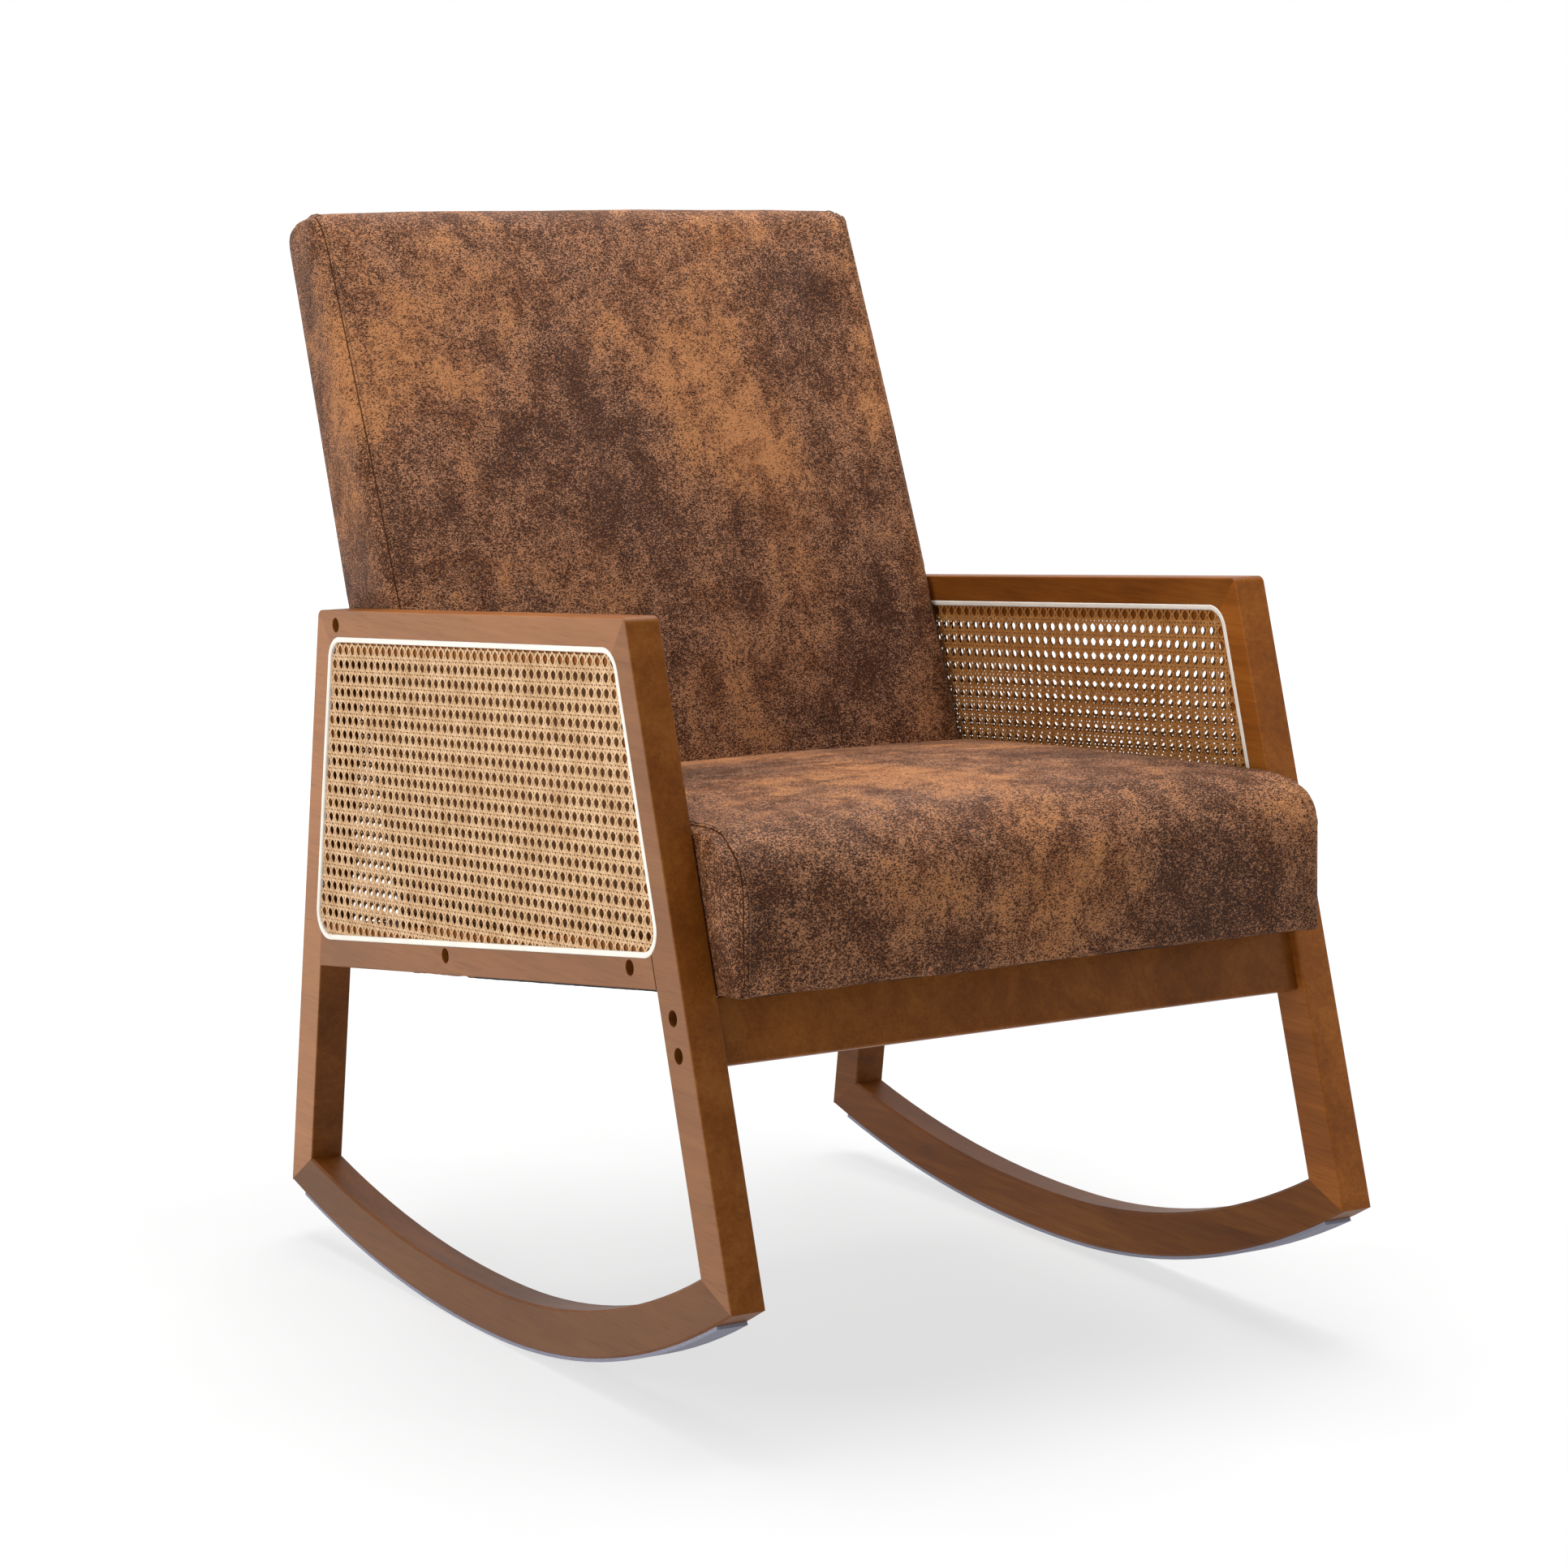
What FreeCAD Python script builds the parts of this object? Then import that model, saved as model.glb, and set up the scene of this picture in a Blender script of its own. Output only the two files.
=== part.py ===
import FreeCAD, Part
import math
import os
import Sketcher
from FreeCAD import Placement, Rotation, Vector

# Upholstered rocking chair. Millimetres, +Z up, the sitter faces -Y, X runs across the chair.
# The origin is on the floor, midway across the width and midway along the depth.
# "right" pieces lie at -X and "left" pieces at +X, as the sitter names them.

DRIVING_SIZES = {
    # Whole chair
    "overall_width": 640,
    "overall_depth": 869,
    "overall_height": 962,
    # Side frames, given as distances behind the front foot and heights above the floor
    "frame_thickness": 32,
    "member_width": 40,
    "rail_depth": 40,
    "rocker_depth": 40,
    "arm_front_setback": 164.5,
    "arm_front_height": 652,
    "arm_rear_setback": 740,
    "arm_rear_height": 604.5,
    "rear_foot_setback": 821,
    "side_rail_height": 315,
    "arm_corner_radius": 7,
    "edge_ease": 2,
    # Rockers: a tighter arc in front, a flatter one behind, tangent where they meet
    "rocker_front_radius": 850,
    "rocker_rear_radius": 1406,
    "contact_setback": 454,
    "blend_setback": 397,
    "felt_thickness": 3,
    "felt_width": 28,
    "felt_end_gap": 26,
    # Cane panels and the bead round them
    "panel_margin": 24,
    "panel_rear_margin": 27,
    "panel_rail_margin": 25,
    "panel_corner_radius": 24,
    "rebate_depth": 3,
    "bead_width": 5,
    "bead_thickness": 3.6,
    "bead_round": 1.4,
    "cane_thickness": 1.8,
    # Dowels in the glued joints of the side frames
    "dowel_diameter": 8,
    "dowel_length": 32,
    "glue_gap": 0.1,
    "rail_dowel_spacing": 18,
    "dowel_bolt_gap": 2,
    # Bolts, inserts and barrel nuts
    "bolt_diameter": 8,
    "bolt_head_diameter": 13,
    "bolt_head_height": 8,
    "bolt_length": 45,
    "apron_bolt_length": 62,
    "hex_key_width": 6,
    "hex_socket_depth": 4,
    "counterbore_diameter": 13.5,
    "counterbore_depth": 16,
    "bolt_hole_diameter": 8.8,
    "insert_diameter": 12,
    "insert_length": 16,
    "insert_bore_depth": 25,
    "thread_gap": 0.05,
    "barrel_nut_diameter": 12,
    "barrel_nut_length": 18,
    "barrel_nut_setback": 34,
    "seat_bolt_rise": 17,
    "seat_front_bolt_setback": 158.5,
    "seat_rear_bolt_setback": 488.5,
    "back_bolt_drop": 13.5,
    "back_bolt_inset": 39,
    # Apron between the front legs
    "apron_recess": 9,
    "apron_thickness": 22,
    "apron_depth": 55,
    "apron_bolt_spacing": 30,
    # Seat
    "cushion_side_gap": 3,
    "hem_drop": 7,
    "soft_gap": 0.3,
    "cover_thickness": 1.2,
    "side_padding": 3.3,
    "seat_front_setback": 37,
    "seat_front_height": 131,
    "seat_nose_radius": 40,
    "seat_hem_radius": 12,
    "seat_rear_radius": 8,
    "seat_top_bow": 5,
    "seat_side_bow": 1.5,
    "seat_crown": 7.5,
    "seat_nose_bow": 1.5,
    "drawn_in": 5,
    "seat_rail_height": 50,
    "seat_rail_thickness": 30,
    "seat_rail_lift": 1.6,
    "seat_overhang": 25,
    "seat_end_gap": 9,
    "seat_back_gap": 6.5,
    "corner_block_leg": 60,
    "corner_block_height": 25,
    "webbing_width": 50,
    "webbing_thickness": 1.5,
    "webbing_landing": 20,
    "seat_hem_width": 26,
    "dust_cover_thickness": 0.8,
    "dust_cover_inset": 14,
    "dust_cover_rear_inset": 42,
    # Back
    "back_front_setback": 521,
    "back_rear_setback": 632,
    "back_nose_radius": 7,
    "back_top_radius": 18,
    "back_hem_radius": 9,
    "back_front_bow": 2,
    "back_rear_bow": 1,
    "back_top_bow": 1,
    "back_crown": 6,
    "back_rear_crown": 2,
    "back_top_crown": 3,
    "post_width": 30,
    "post_depth": 50,
    "post_rear_gap": 5,
    "post_foot_cut": 40,
    "post_top_gap": 30,
    "back_rail_height": 50,
    "back_rail_thickness": 30,
    "back_foot_rail_height": 30,
    "back_foot_rail_depth": 50,
    "back_foot_rail_gap": 48,
    # Plates that tie the foot of the back to the seat
    "plate_length": 112,
    "plate_overlap": 32,
    "plate_width": 25,
    "plate_thickness": 3,
    "plate_inset": 115,
    "screw_diameter": 4,
    "screw_length": 20,
    "screw_head_diameter": 8,
    "screw_head_height": 2.5,
    "screw_edge_distance": 9,
    "screw_spacing": 13,
    # Run past a face by a tool that cuts through it
    "overrun": 10,
}

# Slopes, as fall or lean over run or rise
SIDE_RAIL_FALL_SHARE = 0.139
BACK_FRONT_LEAN_SHARE = 0.4157
BACK_REAR_LEAN_SHARE = 0.362
BACK_TOP_FALL_SHARE = 0.3
SEAT_TOP_FALL_SHARE = 0.073

# Places of the two dowels along a mitre, from its outer corner
MITRE_DOWEL_SHARES = (0.55, 0.82)
# Stations across a cushion as shares of its half width. Each has its share of the drawing in
# at the ends and its share of the crown in the middle.
STATION_SHARES = (-1.0, -0.99, -0.97, -0.93, -0.75, -0.4, 0.0, 0.4, 0.75, 0.93, 0.97, 0.99, 1.0)
DRAWN_IN_SHARES = (1.0, 0.4, 0.12, 0.0, 0.0, 0.0, 0.0, 0.0, 0.0, 0.0, 0.12, 0.4, 1.0)
CROWN_SHARES = (0.0, 0.03, 0.08, 0.17, 0.5, 0.87, 1.0, 0.87, 0.5, 0.17, 0.08, 0.03, 0.0)
# Place of a corner block's screw along its long face
CORNER_SCREW_SHARE = 0.25
# Middles of the straps as shares of the span that they cover
SEAT_STRAP_SHARES = (0.1, 0.3, 0.5, 0.7, 0.9)
BACK_STRAP_SHARES = (0.16, 0.31, 0.55, 0.7, 0.85)
BACK_MIDDLE_RAIL_SHARE = 0.43

doc = FreeCAD.newDocument("RockingChair")
sizes = doc.addObject("Spreadsheet::Sheet", "Sizes")
layout = doc.addObject("Spreadsheet::Sheet", "Layout")


class Measure:
    """A length or slope that knows its present value and the formula that keeps it live."""

    def __init__(self, value, formula):
        self.value = value
        self.formula = formula

    def __add__(self, other):
        return combined(self, "+", other)

    def __radd__(self, other):
        return combined(other, "+", self)

    def __sub__(self, other):
        return combined(self, "-", other)

    def __rsub__(self, other):
        return combined(other, "-", self)

    def __mul__(self, other):
        return combined(self, "*", other)

    def __rmul__(self, other):
        return combined(other, "*", self)

    def __truediv__(self, other):
        return combined(self, "/", other)

    def __rtruediv__(self, other):
        return combined(other, "/", self)

    def __neg__(self):
        return combined(0, "-", self)


def as_measure(number):
    return number if isinstance(number, Measure) else Measure(float(number), repr(number))


def combined(first, sign, second):
    a, b = as_measure(first), as_measure(second)
    results = {
        "+": lambda: a.value + b.value,
        "-": lambda: a.value - b.value,
        "*": lambda: a.value * b.value,
        "/": lambda: a.value / b.value,
    }
    return Measure(results[sign](), f"({a.formula} {sign} {b.formula})")


def root(measure):
    return Measure(math.sqrt(measure.value), f"sqrt({measure.formula})")


def fill_sizes():
    """Writes every driving size into the sheet as a plain number under its alias."""
    for row, (name, value) in enumerate(DRIVING_SIZES.items(), start=1):
        sizes.set(f"A{row}", name)
        sizes.set(f"B{row}", str(value))
        sizes.setAlias(f"B{row}", name)
    doc.recompute()


def size(name):
    return Measure(float(sizes.get(name)), f"Sizes.{name}")


def length(name):
    return float(sizes.get(name))


kept_names = []


def kept(name, measure):
    """Keeps a worked-out length in the layout sheet, as a formula of the driving sizes."""
    kept_names.append(name)
    row = len(kept_names)
    layout.set(f"A{row}", name)
    layout.set(f"B{row}", "=" + measure.formula.replace("Layout.", ""))
    layout.setAlias(f"B{row}", name)
    return Measure(measure.value, f"Layout.{name}")


def kept_point(name, point):
    return (kept(name + "_y", point[0]), kept(name + "_z", point[1]))


# Plane geometry in the side view: a point or direction is a pair (y, z) of measures


def plus(point, direction, distance):
    return (point[0] + direction[0] * distance, point[1] + direction[1] * distance)


def heading(name, start, end):
    """Unit direction from one point to another."""
    dy = kept(name + "_run", end[0] - start[0])
    dz = kept(name + "_rise", end[1] - start[1])
    reach = kept(name + "_reach", root(dy * dy + dz * dz))
    return kept_point(name, (dy / reach, dz / reach))


def left_of(direction):
    return (-direction[1], direction[0])


def right_of(direction):
    return (direction[1], -direction[0])


def cross(a, b):
    return a[0] * b[1] - a[1] * b[0]


def dot(a, b):
    return a[0] * b[0] + a[1] * b[1]


def crossing(name, point_a, along_a, point_b, along_b):
    """Where two lines meet, each given by a point and a direction."""
    gap = (point_b[0] - point_a[0], point_b[1] - point_a[1])
    travel = kept(name + "_travel", cross(gap, along_b) / cross(along_a, along_b))
    return kept_point(name, plus(point_a, along_a, travel))


def arc_crossing(name, point, along, centre, radius):
    """Where a line running down the given direction leaves a circle."""
    gap = (point[0] - centre[0], point[1] - centre[1])
    middle = kept(name + "_middle", dot(gap, along))
    under_root = middle * middle - dot(gap, gap) + radius * radius
    travel = kept(name + "_travel", root(under_root) - middle)
    return kept_point(name, plus(point, along, travel))


def rounded_corner(name, corner, toward_first, toward_second, radius):
    """The two tangent points and the middle of the arc that rounds a corner."""
    spread = kept(name + "_dot", dot(toward_first, toward_second))
    turn = kept(name + "_sine", root(1 - spread * spread))
    tangent_length = kept(name + "_tangent", radius * (1 + spread) / turn)
    first = kept_point(name + "_first", plus(corner, toward_first, tangent_length))
    second = kept_point(name + "_second", plus(corner, toward_second, tangent_length))
    middle_of_chord = ((first[0] + second[0]) / 2, (first[1] + second[1]) / 2)
    outward = heading(name + "_out", middle_of_chord, corner)
    half_chord_squared = tangent_length * tangent_length * (1 - spread) / 2
    rise = radius - root(radius * radius - half_chord_squared)
    middle = kept_point(name + "_middle", plus(middle_of_chord, outward, rise))
    return first, middle, second


fill_sizes()

# Outer corners and edges of a side frame
front_y = kept("front_y", -size("overall_depth") / 2)
arm_front = kept_point("arm_front", (front_y + size("arm_front_setback"), size("arm_front_height")))
arm_rear = kept_point("arm_rear", (front_y + size("arm_rear_setback"), size("arm_rear_height")))
rear_centre = kept_point(
    "rear_centre",
    (front_y + size("contact_setback"), size("rocker_rear_radius") + size("felt_thickness")),
)
blend_line = kept("blend_line", front_y + size("blend_setback"))
blend_reach = kept("blend_reach", rear_centre[0] - blend_line)
rear_radius = size("rocker_rear_radius")
front_radius = size("rocker_front_radius")
blend = kept_point(
    "blend", (blend_line, rear_centre[1] - root(rear_radius * rear_radius - blend_reach * blend_reach))
)
radius_ratio = kept("radius_ratio", front_radius / rear_radius)
front_centre = kept_point(
    "front_centre",
    (
        blend[0] + (rear_centre[0] - blend[0]) * radius_ratio,
        blend[1] + (rear_centre[1] - blend[1]) * radius_ratio,
    ),
)
front_reach = kept("front_reach", front_centre[0] - front_y)
front_foot = kept_point(
    "front_foot",
    (front_y, front_centre[1] - root(front_radius * front_radius - front_reach * front_reach)),
)
rear_foot_line = kept("rear_foot_line", front_y + size("rear_foot_setback"))
rear_reach = kept("rear_reach", rear_foot_line - rear_centre[0])
rear_foot = kept_point(
    "rear_foot",
    (rear_foot_line, rear_centre[1] - root(rear_radius * rear_radius - rear_reach * rear_reach)),
)
along_arm = heading("along_arm", arm_front, arm_rear)
down_front = heading("down_front", arm_front, front_foot)
down_rear = heading("down_rear", arm_rear, rear_foot)
rail_fall = as_measure(SIDE_RAIL_FALL_SHARE)
rail_slant = kept("rail_slant", root(1 + rail_fall * rail_fall))
along_rail = kept_point("along_rail", (1 / rail_slant, -rail_fall / rail_slant))

# Inner corners, one member's width inside the outer edges
member = size("member_width")
under_arm = kept_point("under_arm", plus(arm_front, right_of(along_arm), member))
behind_front = kept_point("behind_front", plus(arm_front, left_of(down_front), member))
before_rear = kept_point("before_rear", plus(arm_rear, right_of(down_rear), member))
arm_front_inner = crossing("arm_front_inner", under_arm, along_arm, behind_front, down_front)
arm_rear_inner = crossing("arm_rear_inner", under_arm, along_arm, before_rear, down_rear)
inner_front_radius = kept("inner_front_radius", front_radius - size("rocker_depth"))
inner_rear_radius = kept("inner_rear_radius", rear_radius - size("rocker_depth"))
front_foot_inner = arc_crossing(
    "front_foot_inner", behind_front, down_front, front_centre, inner_front_radius
)
rear_foot_inner = arc_crossing(
    "rear_foot_inner", before_rear, down_rear, rear_centre, inner_rear_radius
)
inner_ratio = kept("inner_ratio", size("rocker_depth") / rear_radius)
blend_inner = kept_point(
    "blend_inner",
    (
        blend[0] + (rear_centre[0] - blend[0]) * inner_ratio,
        blend[1] + (rear_centre[1] - blend[1]) * inner_ratio,
    ),
)
rail_foot = (as_measure(0), size("side_rail_height"))
rail_head = kept_point("rail_head", plus(rail_foot, left_of(along_rail), size("rail_depth")))
rail_front_low = crossing("rail_front_low", rail_foot, along_rail, behind_front, down_front)
rail_rear_low = crossing("rail_rear_low", rail_foot, along_rail, before_rear, down_rear)
rail_front_high = crossing("rail_front_high", rail_head, along_rail, behind_front, down_front)
rail_rear_high = crossing("rail_rear_high", rail_head, along_rail, before_rear, down_rear)

up_front = (-down_front[0], -down_front[1])
up_rear = (-down_rear[0], -down_rear[1])
toward_front = (-along_arm[0], -along_arm[1])
arm_round = size("arm_corner_radius")
front_round = rounded_corner("front_round", arm_front, along_arm, down_front, arm_round)
rear_round = rounded_corner("rear_round", arm_rear, down_rear, toward_front, arm_round)

# Outline of the cane panel: the bead's outer edge, and its inner edge one bead inside
panel_top = kept_point("panel_top", plus(arm_front, right_of(along_arm), size("panel_margin")))
panel_front = kept_point("panel_front", plus(arm_front, left_of(down_front), size("panel_margin")))
panel_rear = kept_point(
    "panel_rear", plus(arm_rear, right_of(down_rear), size("panel_rear_margin"))
)
panel_foot = kept_point(
    "panel_foot", plus(rail_foot, left_of(along_rail), size("panel_rail_margin"))
)
back_along_rail = (-along_rail[0], -along_rail[1])


def panel_outline(name, inset):
    """The four rounded corners of the panel, counter-clockwise from the lower front."""
    top = kept_point(name + "_top", plus(panel_top, right_of(along_arm), inset))
    front = kept_point(name + "_front", plus(panel_front, left_of(down_front), inset))
    rear = kept_point(name + "_rear", plus(panel_rear, right_of(down_rear), inset))
    foot = kept_point(name + "_foot", plus(panel_foot, left_of(along_rail), inset))
    radius = kept(name + "_radius", size("panel_corner_radius") - inset)
    corners = (
        ("low_front", foot, along_rail, front, down_front, up_front, along_rail),
        ("low_rear", foot, along_rail, rear, down_rear, back_along_rail, up_rear),
        ("high_rear", top, along_arm, rear, down_rear, down_rear, toward_front),
        ("high_front", top, along_arm, front, down_front, along_arm, down_front),
    )
    points = []
    for place, point_a, along_a, point_b, along_b, toward_a, toward_b in corners:
        corner = crossing(f"{name}_{place}", point_a, along_a, point_b, along_b)
        first, _, second = rounded_corner(f"{name}_{place}", corner, toward_a, toward_b, radius)
        points += [first, second]
    return points, {index: (radius, True) for index in (0, 2, 4, 6)}


rebate_outline = panel_outline("rebate", as_measure(0))
bead_inner_outline = panel_outline("bead", size("bead_width"))

# Bolt places in the side view
leg_middle = kept_point("leg_middle", plus(arm_front, left_of(down_front), member / 2))
seat_foot = kept_point("seat_foot", plus(rail_foot, right_of(along_rail), size("hem_drop")))
apron_face = kept_point(
    "apron_face", plus(arm_front, left_of(down_front), size("apron_recess"))
)
apron_top_front = crossing("apron_top_front", apron_face, down_front, seat_foot, along_rail)
apron_drop = kept(
    "apron_drop",
    dot((apron_top_front[0] - arm_front[0], apron_top_front[1] - arm_front[1]), down_front)
    + size("soft_gap"),
)
apron_middle_drop = kept("apron_middle_drop", apron_drop + size("apron_depth") / 2)
apron_bolt_places = [
    kept_point(
        f"apron_bolt_{name}",
        plus(leg_middle, down_front, apron_middle_drop + size("apron_bolt_spacing") * share),
    )
    for name, share in (("upper", -0.5), ("lower", 0.5))
]


def seat_bolt_place(name, setback):
    """A place on the side rail, a set rise above its lower edge."""
    raised = plus(rail_foot, left_of(along_rail), size("seat_bolt_rise"))
    travel = (front_y + size(setback) - raised[0]) / along_rail[0]
    return kept_point(name, plus(raised, along_rail, travel))


seat_bolt_places = [
    seat_bolt_place("seat_bolt_front", "seat_front_bolt_setback"),
    seat_bolt_place("seat_bolt_rear", "seat_rear_bolt_setback"),
]
back_bolt_line = kept_point(
    "back_bolt_line", plus(arm_front, right_of(along_arm), size("back_bolt_drop"))
)
back_bolt_limit = kept_point(
    "back_bolt_limit", plus(arm_rear, right_of(down_rear), size("back_bolt_inset"))
)
back_bolt_place = crossing(
    "back_bolt", back_bolt_line, along_arm, back_bolt_limit, down_rear
)
doc.recompute()


# Sketches and features shared by the flat members


def plane_of(body, role):
    for feature in body.Origin.OriginFeatures:
        if feature.Role == role:
            return feature
    raise ValueError(f"{body.Label} has no {role}")


def side_sketch(body, name, depth):
    """A sketch in the side view, the given measure inwards along the body's X axis."""
    sketch = body.newObject("Sketcher::SketchObject", name)
    sketch.AttachmentSupport = [(plane_of(body, "YZ_Plane"), "")]
    sketch.MapMode = "FlatFace"
    sketch.AttachmentOffset = Placement(Vector(0, 0, depth.value), Rotation())
    sketch.setExpression(".AttachmentOffset.Base.z", depth.formula)
    return sketch


def arc_between(start, end, radius):
    """Counter-clockwise arc of under a half circle from start to end."""
    chord = end - start
    half = chord.Length / 2
    left = Vector(-chord.y, chord.x, 0).normalize()
    centre = (start + end) / 2 + left * math.sqrt(max(radius * radius - half * half, 0.0))
    first = math.atan2(start.y - centre.y, start.x - centre.x)
    last = math.atan2(end.y - centre.y, end.x - centre.x)
    return Part.ArcOfCircle(Part.Circle(centre, Vector(0, 0, 1), radius), first, last)


def bind(sketch, constraint, measure):
    index = sketch.addConstraint(constraint)
    sketch.setExpression(f"Constraints[{index}]", measure.formula)


def draw_outline(sketch, points, arcs):
    """Closed outline through the points. An arc's entry holds its radius and its turning sense."""
    corners = [Vector(y.value, z.value, 0) for y, z in points]
    count = len(corners)
    edges = []
    for index in range(count):
        start, end = corners[index], corners[(index + 1) % count]
        if index not in arcs:
            edges.append((sketch.addGeometry(Part.LineSegment(start, end), False), 1, 2))
            continue
        radius, forward = arcs[index]
        if forward:
            geometry = arc_between(start, end, radius.value)
            edges.append((sketch.addGeometry(geometry, False), 1, 2))
        else:
            geometry = arc_between(end, start, radius.value)
            edges.append((sketch.addGeometry(geometry, False), 2, 1))
    for index in range(count):
        edge, start, _ = edges[index]
        previous, _, end = edges[index - 1]
        sketch.addConstraint(Sketcher.Constraint("Coincident", previous, end, edge, start))
        y, z = points[index]
        bind(sketch, Sketcher.Constraint("DistanceX", -1, 1, edge, start, y.value), y)
        bind(sketch, Sketcher.Constraint("DistanceY", -1, 1, edge, start, z.value), z)
    for index, (radius, _) in arcs.items():
        edge = edges[index][0]
        bind(sketch, Sketcher.Constraint("Radius", edge, radius.value), radius)


def draw_circle(sketch, place, diameter):
    centre = Vector(place[0].value, place[1].value, 0)
    circle = sketch.addGeometry(Part.Circle(centre, Vector(0, 0, 1), diameter.value / 2), False)
    bind(sketch, Sketcher.Constraint("DistanceX", -1, 1, circle, 3, place[0].value), place[0])
    bind(sketch, Sketcher.Constraint("DistanceY", -1, 1, circle, 3, place[1].value), place[1])
    bind(sketch, Sketcher.Constraint("Diameter", circle, diameter.value), diameter)


class Side:
    """One side of the chair: its name, and which way its outer face looks."""

    def __init__(self, name, sign):
        self.name = name
        self.sign = sign

    def inward(self, measure):
        return measure * (-self.sign)

    def new_body(self, label):
        body = doc.addObject("PartDesign::Body", f"{self.name}_{label}_body")
        body.Placement = Placement(Vector(self.sign * length("overall_width") / 2, 0, 0), Rotation())
        body.setExpression(".Placement.Base.x", f"Sizes.overall_width / 2 * {self.sign}")
        return body

    def pad(self, body, outlines, depth, thickness):
        """Solid between two depths below the outer face."""
        sketch = side_sketch(body, body.Name + "_outline", self.inward(depth))
        for points, arcs in outlines:
            draw_outline(sketch, points, arcs)
        pad = body.newObject("PartDesign::Pad", body.Name + "_pad")
        pad.Profile = sketch
        pad.Length = thickness.value
        pad.setExpression("Length", thickness.formula)
        pad.Reversed = self.sign > 0
        doc.recompute()
        return pad

    def pocket(self, body, draw, depth, thickness, inwards=True):
        """Cut from a depth, inwards or back out towards the outer face."""
        count = len(body.Group)
        sketch = side_sketch(body, f"{body.Name}_cut_{count}", self.inward(depth))
        draw(sketch)
        before = body.Shape.Volume
        pocket = body.newObject("PartDesign::Pocket", f"{body.Name}_pocket_{count}")
        pocket.Profile = sketch
        pocket.Length = thickness.value
        pocket.setExpression("Length", thickness.formula)
        pocket.Reversed = (self.sign < 0) == inwards
        doc.recompute()
        if not body.Shape.Volume < before:
            raise ValueError(f"{pocket.Name} cuts nothing")


SIDES = (Side("right", -1), Side("left", 1))
zero = as_measure(0)
thickness = size("frame_thickness")


def ease_edges(body, base, width, outer_faces, rounded):
    """Rounds or bevels the long edges that lie on the given faces, seen from the side."""
    names = []
    for index, edge in enumerate(base.Shape.Edges, start=1):
        box = edge.BoundBox
        flat = box.XLength < length("edge_ease") / 2
        on_face = any(abs(box.XMin - x) < length("edge_ease") / 2 for x in outer_faces)
        if flat and on_face and edge.Length > length("rail_depth") * 2:
            names.append(f"Edge{index}")
    kind, measure = ("Fillet", "Radius") if rounded else ("Chamfer", "Size")
    eased = body.newObject(f"PartDesign::{kind}", body.Name + "_eased")
    eased.Base = (base, names)
    setattr(eased, measure, width.value)
    eased.setExpression(measure, width.formula)
    doc.recompute()


def flat_member(side, label, points, arcs, rebated, bolts):
    """One member of a side frame, eased, rebated for the cane and bored for its bolts."""
    body = side.new_body(label)
    pad = side.pad(body, [(points, arcs)], zero, thickness)
    faces = (0.0, -side.sign * thickness.value)
    ease_edges(body, pad, size("edge_ease"), faces, rebated)
    if rebated:
        depth = size("rebate_depth")
        side.pocket(body, lambda sketch: draw_outline(sketch, *rebate_outline), zero, depth)
        side.pocket(
            body, lambda sketch: draw_outline(sketch, *rebate_outline), thickness, depth, False
        )
    if bolts:

        def bore(diameter):
            return lambda sketch: [draw_circle(sketch, place, diameter) for place in bolts]

        side.pocket(body, bore(size("counterbore_diameter")), zero, size("counterbore_depth"))
        through = thickness + size("overrun")
        side.pocket(body, bore(size("bolt_hole_diameter")), zero, through)
    return body


# Dowels, in the side view as a middle and a direction


def side_point(point):
    return Vector(0, point[0].value, point[1].value)


def mitre_dowels(outer, inner, reach):
    start = side_point(outer)
    mitre = side_point(inner) - start
    square = Vector(0, -mitre.z, mitre.y).normalize()
    return [(start + mitre * share, square, reach) for share in MITRE_DOWEL_SHARES]


def reach_beside_bolt():
    """Length of the dowels in the arm's rear mitre, which end clear of the back bolt's counterbore."""
    start = side_point(arm_rear)
    mitre = (side_point(arm_rear_inner) - start).normalize()
    offset = side_point(back_bolt_place) - start
    from_mitre = abs(offset.y * mitre.z - offset.z * mitre.y)
    return 2 * (from_mitre - length("counterbore_diameter") / 2 - length("dowel_bolt_gap"))


def rail_dowels(low, high, reach):
    middle = (side_point(low) + side_point(high)) / 2
    run = side_point(along_rail)
    rise = Vector(0, -run.z, run.y)
    spacing = length("rail_dowel_spacing")
    return [(middle + rise * (spacing * share), run, reach) for share in (-0.5, 0.5)]


def dowel_set(side, gap):
    """Every dowel of one side frame, or with a gap the bores that take them."""
    x = side.sign * (length("overall_width") - length("frame_thickness")) / 2
    reach = length("dowel_length")
    places = (
        mitre_dowels(arm_front, arm_front_inner, reach)
        + mitre_dowels(arm_rear, arm_rear_inner, reach_beside_bolt())
        + mitre_dowels(front_foot, front_foot_inner, reach)
        + mitre_dowels(rear_foot, rear_foot_inner, reach)
        + rail_dowels(rail_front_low, rail_front_high, reach)
        + rail_dowels(rail_rear_low, rail_rear_high, reach)
    )
    radius = length("dowel_diameter") / 2 + gap
    rods = []
    for middle, direction, dowel_reach in places:
        full_reach = dowel_reach + 2 * gap
        start = middle + Vector(x, 0, 0) - direction * (full_reach / 2)
        rods.append(Part.makeCylinder(radius, full_reach, start, direction))
    return Part.makeCompound(rods)


def feature(name, shape, place=Placement()):
    """A piece whose shape is worked out in code from the sheet's sizes."""
    made = doc.addObject("Part::Feature", name)
    made.Shape = shape
    made.Placement = place
    return made


def cut(name, base, tool):
    made = doc.addObject("Part::Cut", name)
    made.Base = base
    made.Tool = tool
    made.Label = name
    return made


pieces = {}


def keep_piece(label, made):
    made.Label = label
    pieces[label] = made


def glued_member(side, label, body, bores):
    keep_piece(f"{side.name}_{label}", cut(f"{side.name}_{label}_bored", body, bores))


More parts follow.
